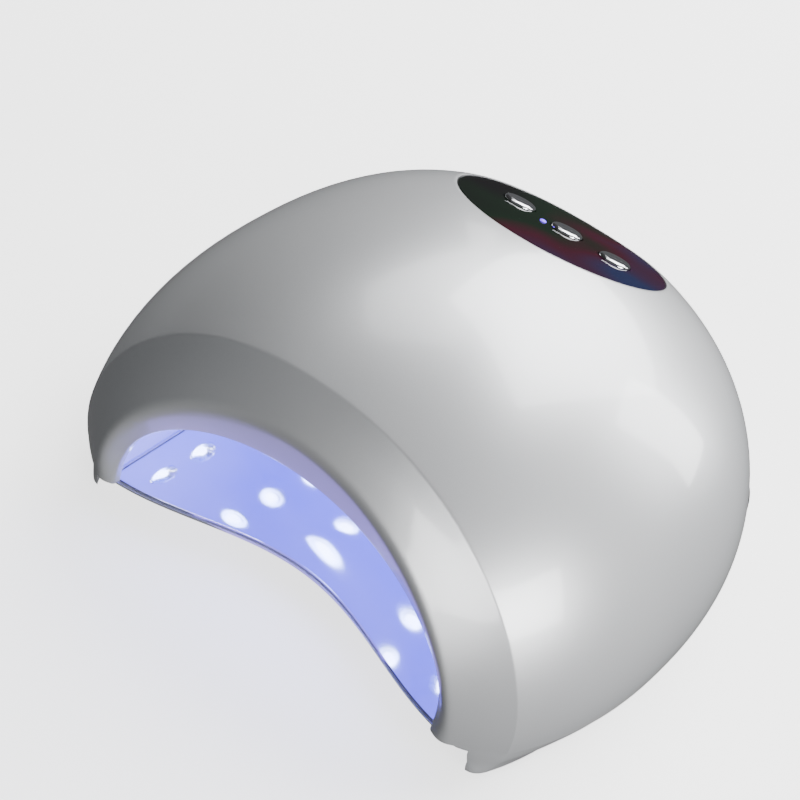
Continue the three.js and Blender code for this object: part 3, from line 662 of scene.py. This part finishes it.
def painted_shell():
    outer = dome_rows(0.0, 0.0, DOME_ROWS)
    inner = dome_rows(WALL, -SEAT_DEPTH - WALL, INNER_ROWS)
    crease, above, inner_front = (row[: FRONT_COLUMNS + 1] for row in (*outer[:2], inner[0]))
    rim = arch_row(RIM_ARCH, 0)
    crease_turn = crease_rows(crease, above, rim)
    seat_turn, seat_low = seat_rows(outer[0])
    shell = Builder()
    shell.grid(outer[1:-1] + seat_turn + [seat_low], closed=True)
    # Between the turned crease, or the seam, and the first full row
    shell.grid([np.vstack([crease_turn[0], outer[0][FRONT_COLUMNS + 1 :]]), outer[1]], closed=True)
    shell.grid(inner, closed=True)
    ledge = between(seat_low, PANEL_AT - PANEL_UP * SEAT_DEPTH, SEAT_LEDGE_SHARE)
    shell.grid([seat_low, ledge, ledge - PANEL_UP * WALL, inner[-1]], closed=True)
    strip = crease_turn + mouth_rows(crease, crease_turn[-1], rim, inner_front)
    shell.grid(strip)
    for j in (0, -1):
        shell.cap([row[j] for row in strip])
    shell.grid([seam_back(inner[0]), seam_back(outer[0])])
    obj = shell.build("painted_shell", PEARL, 50)
    return hand_over(obj, "housing", ["upper_shell"])


# ---- Tray ----
# Height, inset, flare at the front corners, front setback, and the corner's two sizes
TRAY_LEVELS = np.array([
    (1.2, 6.6, 3.1, 4.8, 1.4, 1.6),
    (2.8, 5.9, 2.9, 4.4, 2.2, 2.0),
    (6.0, 4.4, 2.3, 3.7, 5.0, 3.5),
    (10.0, 2.1, 1.2, 2.0, 8.5, 5.5),
    (TRAY_TOP, 0.3, 0.0, 0.0, 12.4, 7.8),
])
TRAY_HEIGHTS = (1.2, 1.28, 1.5, 1.9, 2.5, 3.3, 4.5, 6.0, 8.0, 10.0, 12.0, 13.5)
TRAY_RIM_ROUND = 0.3
TRAY_FOOT_ROUND = dict(top=1.5, slope=3)
FLARE_START, FLARE_SPAN = 0.37, 0.2335
TRAY_COLUMNS = 150
EDGE_COLUMNS = 60


def tray_side(z, inset, flare, setback, corner_y):
    """The tray's side and back at a height, from the right front corner to the left one."""
    front_y = TRAY_FRONT_Y + setback + corner_y
    depth = HALF_DEPTH - drawn_in(inset - flare, z)
    right = -math.asin((-front_y / depth) ** (PLAN_POWER / 2))
    bearing = np.linspace(right, math.pi - right, TRAY_COLUMNS + 1)
    forward = np.clip((-np.sin(bearing) - FLARE_START) / FLARE_SPAN, 0, 1)
    return plan_point(bearing, inset - flare * forward, z)


def tray_outline(z, drawn=0.0):
    """The tray's outline at a height, with rounded front corners."""
    inset, flare, setback, corner_x, corner_y = (
        np.interp(z, TRAY_LEVELS[:, 0], TRAY_LEVELS[:, i]) for i in range(1, 6)
    )
    side = tray_side(z, inset + drawn, flare, setback, corner_y)
    corner_x = side[0, 0] - corner_x
    x = np.linspace(-corner_x, corner_x, EDGE_COLUMNS + 1)
    y = TRAY_FRONT_Y + setback + TRAY_BITE * (1 + np.cos(math.pi * x / corner_x))
    front = np.stack([x, y, np.full_like(x, z)], -1)
    left_turn = corner_turn(side[-2], side[-1], front[0], front[1])
    right_turn = corner_turn(front[-2], front[-1], side[0], side[1])
    return np.vstack([side[1:-1], left_turn, front[1:-1], right_turn])


def corner_turn(before, first, second, after):
    """A rounded chamfer in place of two sharp corners."""
    t = np.linspace(0.06, 0.94, 12)[:, None]
    turn = (1 - t) ** 3 * before + 3 * t * (1 - t) ** 2 * first
    return turn + 3 * t * t * (1 - t) * second + t**3 * after


def tray_shape():
    """The tray's outside as one closed form, from its bottom edge up to its rim."""
    rows = []
    for z in (*TRAY_HEIGHTS, TRAY_TOP - TRAY_RIM_ROUND, TRAY_TOP):
        drawn = max(0.0, TRAY_FOOT_ROUND["top"] - z) * TRAY_FOOT_ROUND["slope"]
        rows.append(tray_outline(z, drawn + (TRAY_RIM_ROUND if z >= TRAY_TOP else 0.0)))
    form = Builder()
    form.grid(rows, closed=True).cap(rows[0][::-1]).cap(rows[-1])
    return form.build("painted_tray", PEARL)


def under_cutter():
    """The hollow under the deck, carried forward so that the front stays open."""
    rows = []
    for z, inset, flare in ((-1.0, 9.0, 3.1), (TRAY_TOP - TRAY_DECK, 5.5, 0.6)):
        side = tray_side(z, inset, flare, 0.0, 1.6)
        ahead = np.array([[side[-1][0], AHEAD_Y, z], [side[0][0], AHEAD_Y, z]])
        rows.append(np.vstack([side, ahead]))
    block = Builder()
    return block.grid(rows, closed=True).cap(rows[0][::-1]).cap(rows[1]).build("cutter", PEARL)


def painted_tray():
    tray = tray_shape()
    feet = [stand_on(f"rubber_foot_{i}")[:2] for i in range(1, 5)]
    hollow = under_cutter()
    up = (0, 0, 1)
    carve(hollow, [cutter_rod((x, y, 5), up, BOSS_RADIUS, 30) for x, y in feet], "MANIFOLD")
    cutters = [hollow, prism_cutter(recess_outline(), TRAY_TOP - TRAY_RECESS, SEAM_Z + 8)]
    pocket = FOOT_POCKET["radius"], FOOT_POCKET["depth"]
    cutters += [cutter_rod((x, y, 0), up, *pocket) for x, y in feet]
    # Pockets for the steel discs, sunk into the deck above each foot
    cutters += [cutter_rod((x, y, SEAM_Z + 8.2), up, DISC_HOLE_RADIUS, 10.0) for x, y in feet]
    carve(tray, cutters, "MANIFOLD")
    smooth(tray, 38)
    return hand_over(tray, "base", ["base_tray"])


# ---- Reflector liner ----
LINER_BACK_Y = RIM["at"] + LINER_DEPTH - LINER_SETBACK
LINER_BOTTOM = SEAM_Z + 0.3


def deepening(count):
    """Shares of the way to the back of the cavity, closer together towards it."""
    return 1 - (1 - np.linspace(0, 1, count)) ** 1.6


def liner_scale(deep):
    end = (1 - LINER_END**LINER_SQUARE) ** (1 / LINER_SQUARE)
    return (1 - (deep * end) ** LINER_SQUARE) ** (1 / LINER_SQUARE)


def liner_row(deep, angles, grow=0.0):
    """The cavity's arch at a share of its depth."""
    x, height = arch_points(angles, LINER_ARCH, grow, liner_scale(deep))
    mouth = on_face(RIM, x, height, LINER_SETBACK)
    y = mouth[:, 1] + (LINER_BACK_Y + grow - mouth[:, 1]) * deep
    return np.stack([x, y, np.maximum(mouth[:, 2], LINER_BOTTOM)], -1)


def reflector():
    angles = np.linspace(0, math.pi, 97)
    inside = [liner_row(deep, angles) for deep in deepening(42)]
    foot = np.array([0.0, LINER_BACK_Y, LINER_BOTTOM])
    inside += [between(inside[-1], foot, t) for t in (0.3, 0.65, 0.95)]
    outside = [liner_row(deep, angles, LINER_WALL) for deep in deepening(42)]
    liner = Builder()
    liner.grid(inside).grid(outside).grid([inside[0], outside[0]])
    return hand_over(
        liner.build("reflector_liner", REFLECTOR_PAINTED_GLOW, 60), "housing", ["inner_liner"]
    )


def liner_flange():
    """Closes the underside between the cavity and the shell's wall."""
    clear = WALL + FLANGE_CLEARANCE
    front, back = skirt_rows(clear)
    x, height = arch_points(np.array([0.0]), RIM_ARCH, -clear)
    right_foot = on_face(RIM, x, height, clear + FLANGE_CLEARANCE)[0]
    left_foot = right_foot * [-1, 1, 1]
    outline = np.vstack([left_foot, front[-1:], back, front[:1], right_foot, cavity_edge(0.9)])
    flange = prism_cutter(outline, LINER_BOTTOM, LINER_BOTTOM + FLANGE_THICKNESS)
    flange.name = "liner_flange"
    # The flange carries the same painted violet lamp light and glow as the liner
    flange.data.materials[0] = REFLECTOR_PAINTED_GLOW
    holes = []
    for i in range(1, 5):
        for node, radius in (("housing_magnet", DISC_HOLE_RADIUS), ("liner_screw", SCREW_HOLE_RADIUS)):
            x, y, _ = stand_on(f"{node}_{i}")
            holes.append(cutter_rod((x, y, SEAM_Z), (0, 0, 1), radius, 6))
    carve(flange, holes)
    return hand_over(flange, "housing")


# ---- Cutting holes ----
def carve(obj, cutters, solver="EXACT"):
    """Cuts closed meshes out of a piece, and leaves the result as its mesh."""
    for cutter in cutters:
        modifier = obj.modifiers.new("cut", "BOOLEAN")
        modifier.operation, modifier.solver, modifier.object = "DIFFERENCE", solver, cutter
    bpy.context.view_layer.update()
    graph = bpy.context.evaluated_depsgraph_get()
    result = bpy.data.meshes.new_from_object(obj.evaluated_get(graph))
    assert len(result.polygons), f"nothing is left of {obj.name} after its cuts"
    old = obj.data
    obj.modifiers.clear()
    obj.data = result
    bpy.data.meshes.remove(old)
    for cutter in cutters:
        bpy.data.objects.remove(cutter, do_unlink=True)
    return obj


def cutter_rod(at, axis, radius, length):
    """A plain rod in millimetres, from length behind a point to length ahead of it."""
    rod = lathe("cutter", [(0, -length), (radius, -length), (radius, length), (0, length)], PEARL, 40)
    turn = Vector((0, 0, 1)).rotation_difference(Vector(axis)).to_matrix().to_4x4()
    rod.data.transform(Matrix.Translation(Vector(at) * MM) @ turn)
    return rod


def in_row(point):
    """A point around the dome's middle, moved to the frame's own middle."""
    return np.asarray(point, float) + [0, CENTRE_Y, 0]


# ---- Lamps in their cups ----
BOARD_STANDOFF = 2.3
CUP_HOLE = dict(radius=5.0, reach=6)
ROOF_ROWS, ROOF_COLUMNS = (-48, -26, -4, 18), (-15, 15)
SHOULDER_ROWS, SIDE_ROWS = (-43, -20, 3), (-52, -33, -14)
ROOF_CLIMB, SHOULDER_CLIMB, SIDE_CLIMB = 90, 46, 15


def arch_station(climb, side):
    """A board's place on the cavity's arch, and the direction out of the cavity there."""
    points = arch_points(np.array([math.radians(climb)]), LINER_ARCH, BOARD_STANDOFF)
    x, height = (float(v[0]) for v in points)
    steep = LINER_ARCH["power"] - 1
    out = Vector((
        side * max(0.0, x / LINER_ARCH["half"]) ** steep / LINER_ARCH["half"],
        0,
        ((height - ARCH_FOOT) / LINER_ARCH["rise"]) ** steep / LINER_ARCH["rise"],
    )).normalized()
    return side * x, SEAM_Z + height, out


def lamp_stations():
    """Each lamp's place on its board and the direction into the cavity, in the record's order."""
    stations = []
    groups = [(ROOF_CLIMB, 1, ROOF_ROWS, ROOF_COLUMNS)]
    for side in (-1, 1):
        groups += [(SHOULDER_CLIMB, side, SHOULDER_ROWS, (0,)), (SIDE_CLIMB, side, SIDE_ROWS, (0,))]
    for climb, side, rows, columns in groups:
        x, z, out = arch_station(climb, side)
        stations += [(in_row((x + dx, y, z)), -out) for y in rows for dx in columns]
    return stations


CUP_PROFILE = rounded(
    [
        (2.9, 0.35), (3.3, 0.35), (4.9, 2.2), (5.5, 2.75), (6.1, 2.55), (6.1, 2.0), (5.0, 1.8),
        (2.9, 0.25), (2.9, 0.35),
    ],
    0.25, 3,
)
LENS_PROFILE = [(0, 0.3), (2.9, 0.3), (2.9, 0.75), (2.75, 0.95)] + [
    (2.6 * math.cos(t), 0.95 + 2.1 * math.sin(t)) for t in np.linspace(0.15, math.pi / 2, 9)
]


def lamps():
    profile = LENS_PROFILE[:-1] + [(0, LENS_PROFILE[-1][1])]
    for i, (at, into) in enumerate(lamp_stations(), 1):
        cup = lathe(f"lamp_cup_{i:02d}", CUP_PROFILE, CUP_METAL, 40)
        settle(cup, at, into, "housing")
        lens = lathe(f"lamp_lens_{i:02d}", profile, LENS, 32)
        settle(lens, at, into, "housing", [f"led_lamp_{i:02d}"])


def lamp_holes(liner):
    hole = CUP_HOLE["radius"], CUP_HOLE["reach"]
    carve(liner, [cutter_rod(at, into, *hole) for at, into in lamp_stations()])
    smooth(liner, 60)


# ---- Mirrored floor ----
MIRROR_MARGIN = 1.2
MIRROR_REACH = 70


def mirror_floor():
    low, high = box_mm("mirror_plate")
    corner_x = corner_of_tray()
    foot_x = LINER_ARCH["half"] - 1
    x = np.linspace(-foot_x, foot_x, 81)
    y = TRAY_FRONT_Y + TRAY_BITE * (1 + np.cos(math.pi * x / corner_x)) + MIRROR_MARGIN
    front = np.stack([x, y, np.zeros_like(x)], -1)
    outline = np.vstack([front, cavity_edge(-1.0)])
    plate = Builder()
    levels = [(low[2], 0.0), (high[2] - 0.25, 0.0), (high[2] - 0.06, 0.12), (high[2], 0.3)]
    rows = []
    for z, draw in levels:
        row = outline * (1 - draw / MIRROR_REACH)
        row[:, 2] = z
        rows.append(row)
    plate.grid(rows, closed=True).cap(rows[0][::-1]).cap(rows[-1])
    obj = plate.build("mirror_floor", MIRROR, 30)
    return hand_over(obj, "base", ["mirror_plate"])


def corner_of_tray():
    """How far across the tray's curved front edge runs at its top."""
    _, inset, flare, setback, corner_x, corner_y = TRAY_LEVELS[-1]
    return float(tray_side(TRAY_TOP, inset, flare, setback, corner_y)[0, 0]) - corner_x


def cavity_edge(grow):
    """The cavity's outline on the floor, from the right of the mouth round to the left."""
    right = np.array([liner_row(deep, np.array([0.0]), grow)[0] for deep in deepening(40)])
    return np.vstack([right, right[::-1] * [-1, 1, 1]])


def prism_cutter(outline, low, high):
    """An outline drawn up between two heights."""
    block = Builder()
    rows = []
    for z in (low, high):
        row = np.array(outline, float)
        row[:, 2] = z
        rows.append(row)
    return block.grid(rows, closed=True).cap(rows[0][::-1]).cap(rows[1]).build("cutter", PEARL)


def recess_outline():
    """The mirror's recess in the deck, open to the front."""
    edge = cavity_edge(-0.6)
    ahead = np.array([[edge[-1, 0], AHEAD_Y, 0], [edge[0, 0], AHEAD_Y, 0]])
    return np.vstack([ahead, edge])


# ---- Control panel ----
BUTTONS = (-18.6, 0.0, 18.6)
BUTTON_RADIUS, BUTTON_CLEARANCE, BUTTON_PROUD = 5.5, 0.35, 0.9
STEM_END = -6.1
INDICATOR = dict(across=-6.6, back=-1.2, radius=1.1)
INDICATOR_CLEARANCE = 0.1
PANEL_DROP, PANEL_THICKNESS = 0.2, 1.6
PANEL_GAP = 0.3
FIGURE_HEIGHT, FIGURE_AHEAD = 2.5, 8.6


def seat(obj, across, back, level, body, nodes=()):
    spot = in_row(on_panel(across, back, level))
    return settle(obj, spot, PANEL_UP, body, nodes)


def control_panel():
    angles = np.linspace(0, 2 * math.pi, 241)[:-1]
    outline = panel_edge(angles, 0.0, 0.0, PANEL_MARGIN + PANEL_GAP)
    outward = unit_rows(outline - PANEL_AT)
    top = -PANEL_DROP
    rows = [
        outline + PANEL_UP * level - outward * draw
        for level, draw in [
            (top - PANEL_THICKNESS, 0), (top - 0.5, 0), (top - 0.22, 0.05), (top - 0.06, 0.2),
            (top, 0.5), (top, 0.8), (top, 1.2),
        ]
    ]
    panel = Builder()
    panel.grid(rows, closed=True).cap(rows[0][::-1]).cap(rows[-1])
    obj = panel.build("gloss_panel", PANEL, 35)
    holes = [
        cutter_rod(in_row(on_panel(x, BUTTON_ROW, 0)), PANEL_UP, BUTTON_RADIUS + BUTTON_CLEARANCE, 5)
        for x in BUTTONS
    ]
    spot = in_row(on_panel(INDICATOR["across"], INDICATOR["back"], 0))
    holes.append(cutter_rod(spot, PANEL_UP, INDICATOR["radius"] + INDICATOR_CLEARANCE, 5))
    carve(obj, holes)
    smooth(obj, 35)
    return hand_over(obj, "housing", ["control_panel"])


def timer_buttons():
    """Chrome caps with a dished top, each on its stem."""
    radius, proud = BUTTON_RADIUS, BUTTON_PROUD
    crown = [(radius - 0.15, proud - 0.55), (radius - 0.9, proud), (radius - 1.9, proud - 0.12)]
    dish = [(r, proud - 0.42 + 0.30 * (r / (radius - 1.9)) ** 2) for r in (2.6, 1.6, 0.8, 0)]
    skirt = [(1.4, -1.3), (radius, -1.3), (radius, proud - 1.1)]
    profile = rounded([(0, STEM_END), (1.4, STEM_END)] + skirt + crown + dish, 0.35, 5)
    for i, across in enumerate(BUTTONS, 1):
        cap = lathe(f"chrome_button_{i}", profile, CHROME, 72, 30)
        seat(cap, across, BUTTON_ROW, 0, f"button_{i}", [f"timer_button_{i}"])


def indicator():
    r = INDICATOR["radius"]
    profile = [
        (0, -9.6), (r, -9.6), (r, -0.1), (r * 0.92, 0.12), (r * 0.7, 0.28), (r * 0.35, 0.37), (0, 0.4),
    ]
    light = lathe("indicator_dome", profile, INDICATOR_LENS, 32, 40)
    seat(light, INDICATOR["across"], INDICATOR["back"], 0, "housing", ["indicator_light"])


def printed_marks():
    """Each button's seconds, in plain figures in front of it."""
    for i, (across, figure) in enumerate(zip(BUTTONS, ("30", "60", "99")), 1):
        curve = bpy.data.curves.new(f"figure_{i}", "FONT")
        curve.body, curve.size, curve.extrude = figure, FIGURE_HEIGHT * MM, 0.02 * MM
        curve.align_x = curve.align_y = "CENTER"
        text = link(f"figure_{i}_source", curve)
        bpy.context.view_layer.update()
        graph = bpy.context.evaluated_depsgraph_get()
        mesh = bpy.data.meshes.new_from_object(text.evaluated_get(graph))
        bpy.data.objects.remove(text, do_unlink=True)
        mark = link(f"panel_figure_{i}", mesh)
        mesh.materials.clear()
        mesh.materials.append(PRINT)
        basis = Matrix([PANEL_ACROSS, PANEL_BACK, PANEL_UP]).transposed().to_4x4()
        spot = in_row(on_panel(across, BUTTON_ROW - FIGURE_AHEAD, -PANEL_DROP + 0.03))
        mesh.transform(Matrix.Translation(Vector(spot) * MM) @ basis)
        hand_over(mark, "housing")


# ---- Small pieces ----
JACK = dict(bearing=math.radians(38), z=26.0, radius=4.6, length=12.0)


def jack_axis():
    """The inlet's place on the dome's side, and the direction out of it."""
    spot = plan_point(np.array([JACK["bearing"]]), 0.0, JACK["z"])[0]
    out = Vector((
        abs(math.cos(JACK["bearing"])) ** (2 - 2 / PLAN_POWER) / HALF_WIDTH,
        abs(math.sin(JACK["bearing"])) ** (2 - 2 / PLAN_POWER) / HALF_DEPTH,
        0,
    )).normalized()
    return in_row(spot), out


def power_inlet():
    spot, out = jack_axis()
    radius, end = JACK["radius"], -JACK["length"]
    profile = rounded([
        (0, end), (radius, end), (radius, 0.5), (6.2, 0.5), (6.2, 1.3), (3.4, 1.3), (2.8, 0.8),
        (2.8, -9), (1, -9), (1, -1.7), (0.5, -1.2), (0, -1.2),
    ], 0.3, 4)
    jack = lathe("power_inlet", profile, BLACK, 56, 30)
    settle(jack, spot, out, "housing", ["dc_jack"])


# Each turned piece's outline, as radius and height, and how far its corners are rounded
TURNED = {
    "foot": ([(0, 0.35), (4.2, 0.35), (4.6, 0), (5.95, 0), (5.95, 3), (0, 3)], 0.5, 5),
    "keeper": ([(0, 0), (3.95, 0), (3.95, 1.5), (0, 1.5)], 0.25, 4),
    "magnet": ([(0, 0), (3.95, 0), (3.95, 2), (0, 2)], 0.3, 4),
    "sensor": ([(0, 0), (1.3, 0.12), (2.2, 0.8), (2.35, 1.4), (2.35, 6), (0, 6)], 0.3, 4),
    "screw": ([(0, 0), (2.2, 0.05), (2.65, 0.9), (1.2, 0.9), (1.2, 11), (0, 12)], 0.2, 4),
}


SCREW_CROSS = (3.2, 0.55, 1.0)


def turned_piece(node, name, kind, material, body, slot):
    piece = lathe(name, rounded(*TURNED[kind]), material, 48, 30)
    settle(piece, stand_on(node), (0, 0, 1), body, [node])


def turned_pieces():
    sets = [
        ("rubber_foot", "soft_foot", "foot", RUBBER, "base", "foot_rubber"),
        ("keeper_disc", "keeper_plate", "keeper", STEEL, "base", "steel"),
        ("housing_magnet", "magnet_disc", "magnet", NICKEL, "housing", "magnet_nickel"),
    ]
    for node, name, *rest in sets:
        for i in range(1, 5):
            turned_piece(f"{node}_{i}", f"{name}_{i}", *rest)
    turned_piece("motion_sensor", "sensor_dome", "sensor", BLACK, "housing", "black_plastic")


def screws():
    """Four screws, each with a cross cut into its head."""
    for i in range(1, 5):
        node = f"liner_screw_{i}"
        screw = lathe(f"liner_screw_head_{i}", rounded(*TURNED["screw"]), STEEL, 36, 30)
        for turn in (0, math.pi / 2):
            carve(screw, [box_cutter(SCREW_CROSS, turn)])
        settle(screw, stand_on(node), (0, 0, 1), "housing", [node])


def box_cutter(size, turn):
    """A block in millimetres around the origin, turned about +Z."""
    mesh = bpy.data.meshes.new("cutter")
    work = bmesh.new()
    bmesh.ops.create_cube(work, size=1.0)
    work.to_mesh(mesh)
    work.free()
    mesh.transform(Matrix.Rotation(turn, 4, "Z") @ Matrix.Diagonal((*(Vector(size) * MM), 1)))
    return link("cutter", mesh)


# ---- CAD nodes that keep their shape ----
KEPT = {"control_board": BOARD_GREEN, "power_lead": LEAD}
for board in ("roof", "left_shoulder", "right_shoulder", "left_side", "right_side"):
    KEPT[f"{board}_led_board"] = BOARD_WHITE
for number in (1, 2, 3):
    KEPT[f"tact_switch_{number}"] = BLACK
    KEPT[f"switch_plunger_{number}"] = BLACK


def refinish(node, material):
    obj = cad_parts[node]
    obj.data.materials.clear()
    obj.data.materials.append(material)


# ---- Studio ----
CAMERA = dict(azimuth=28.739, elevation=40.576, roll=-15.032, lens=80.65, sensor=36)
CAMERA_SPOT = Vector((0.193941, (-378.517 + CENTRE_Y) * MM, 0.413651))
LAMP_MIDDLE = Vector((0, 0, 0.06))
# Bearing, elevation, distance, size, power, turn about its own axis, and sheen only
SOFTBOXES = {
    "overhead": (170, 48, 1.6, (1.3, 1.5), 56, 0, False),
    "overhead_left": (-134, 51, 1.6, (0.74, 1.7), 12, -17, False),
    "rear_right": (143, 16, 1.5, (0.30, 0.80), 9, 0, False),
    "right_side": (72, 11, 1.2, (0.9, 0.4), 17, 0, False),
    "front_low": (16, 0, 1.3, (0.75, 0.3), 9, 0, True),
}
WORLD_TONE, WORLD_STRENGTH = (0.9, 0.92, 0.95, 1), 0.14
FLOOR_GLOW = 2.2
SWEEP_M = [(3.6, 0.0), (4.4, 0.04), (5.0, 0.2), (5.5, 0.6), (5.8, 1.2), (5.9, 2.0), (6.0, 7.0)]
SWEEP_TURNS = 64


def toward(azimuth, elevation):
    """The direction of a bearing in degrees; azimuth 0 is in front of the lamp."""
    a, e = math.radians(azimuth), math.radians(elevation)
    return Vector((math.sin(a) * math.cos(e), -math.cos(a) * math.cos(e), math.sin(e)))


def camera():
    """Three-quarter view from the front right and above, with the camera rolled."""
    azimuth, roll = math.radians(CAMERA["azimuth"]), math.radians(CAMERA["roll"])
    back = toward(CAMERA["azimuth"], CAMERA["elevation"])
    level = Vector((math.cos(azimuth), math.sin(azimuth), 0))
    right = level * math.cos(roll) - back.cross(level) * math.sin(roll)
    axes = Matrix([right, back.cross(right), back]).transposed().to_4x4()
    data = bpy.data.cameras.new("camera")
    data.sensor_width, data.lens = CAMERA["sensor"], CAMERA["lens"]
    data.clip_start, data.clip_end = 0.01, 20
    cam = link("camera", data)
    cam.matrix_world = Matrix.Translation(CAMERA_SPOT) @ axes
    bpy.context.scene.camera = cam


def softbox(name, azimuth, elevation, distance, size, power, spin, sheen_only):
    """An area light that faces the lamp from a bearing."""
    away = toward(azimuth, elevation)
    data = bpy.data.lights.new(name, "AREA")
    data.shape, data.energy = "RECTANGLE", power
    data.size, data.size_y = size
    light = link(name, data)
    light.location = away * distance + LAMP_MIDDLE
    turn = away.to_track_quat("Z", "Y") @ Quaternion((0, 0, 1), math.radians(spin))
    light.rotation_euler = turn.to_euler()
    light.visible_diffuse = not sheen_only


def sweep_mesh():
    """A flat round floor in metres that curves up into a wall all round."""
    turns = [math.tau * i / SWEEP_TURNS for i in range(SWEEP_TURNS)]
    corners = [(r * math.cos(a), r * math.sin(a), z) for r, z in SWEEP_M for a in turns]
    faces = [tuple(range(SWEEP_TURNS))]
    for row in range(len(SWEEP_M) - 1):
        for i in range(SWEEP_TURNS):
            a, b = row * SWEEP_TURNS + i, row * SWEEP_TURNS + (i + 1) % SWEEP_TURNS
            faces.append((a, a + SWEEP_TURNS, b + SWEEP_TURNS, b))
    mesh = bpy.data.meshes.new("floor")
    mesh.from_pydata(corners, [], faces)
    mesh.shade_smooth()
    return mesh


def floor_finish():
    """Matt white paper with a little light of its own."""
    material, tree, shader = new_material("pale_floor")
    noise = object_noise(tree, 3.0)
    ramp = ramp_between(tree, noise.outputs["Fac"], (0.93, 0.93, 0.93), (0.95, 0.95, 0.95))
    tree.links.new(ramp.outputs["Color"], shader.inputs["Base Color"])
    tree.links.new(ramp.outputs["Color"], shader.inputs["Emission Color"])
    shader.inputs["Emission Strength"].default_value = FLOOR_GLOW
    shader.inputs["Roughness"].default_value = 0.85
    shader.inputs["Specular IOR Level"].default_value = 0.1
    return material


def studio():
    floor = link("floor", sweep_mesh())
    floor.data.materials.append(floor_finish())
    floor.visible_diffuse = floor.visible_glossy = False
    world = bpy.data.worlds.new("studio")
    world.use_nodes = True
    sky = world.node_tree.nodes["Background"]
    sky.inputs["Color"].default_value = WORLD_TONE
    sky.inputs["Strength"].default_value = WORLD_STRENGTH
    bpy.context.scene.world = world
    for name, setting in SOFTBOXES.items():
        softbox(name, *setting)
    dark_card("left_flag", 262, 10, 0.75, (1.6, 0.9))
    tray_glow()


def tray_glow():
    """Lamp light thrown forward off the tray onto the lip."""
    low, high = (Vector(corner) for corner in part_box("mirror_plate"))
    data = bpy.data.lights.new("tray_glow", "AREA")
    data.shape, data.size, data.size_y = "RECTANGLE", 0.11, 0.03
    data.energy, data.color = 0.018, (0.34, 0.24, 1.0)
    light = link("tray_glow", data)
    light.location = (0, low.y + 0.004, high.z + 0.001)
    light.rotation_euler = (math.radians(180 - 28), 0, 0)
    light.visible_camera = False


def cloth_finish():
    material, tree, shader = new_material("black_cloth")
    noise = object_noise(tree, 40.0)
    ramp = ramp_between(tree, noise.outputs["Fac"], (0.01, 0.01, 0.01), (0.02, 0.02, 0.02))
    tree.links.new(ramp.outputs["Color"], shader.inputs["Base Color"])
    shader.inputs["Roughness"].default_value = 0.95
    return material


def dark_card(name, azimuth, elevation, distance, size):
    """A dark studio card, unseen by the camera, that shades one side of the lamp."""
    away = toward(azimuth, elevation)
    x, y = size[0] / 2, size[1] / 2
    mesh = bpy.data.meshes.new(name)
    mesh.from_pydata([(-x, -y, 0), (x, -y, 0), (x, y, 0), (-x, y, 0)], [], [(0, 1, 2, 3)])
    mesh.transform(away.to_track_quat("Z", "Y").to_matrix().to_4x4())
    mesh.transform(Matrix.Translation(away * distance + Vector((0, 0, y * 0.9))))
    mesh.materials.append(cloth_finish())
    card = link(name, mesh)
    card.visible_camera = False


def main():
    painted_shell()
    painted_tray()
    liner = reflector()
    lamps()
    lamp_holes(liner)
    liner_flange()
    mirror_floor()
    control_panel()
    timer_buttons()
    indicator()
    printed_marks()
    power_inlet()
    turned_pieces()
    screws()
    for node, material in KEPT.items():
        refinish(node, material)
    studio()
    camera()


main()
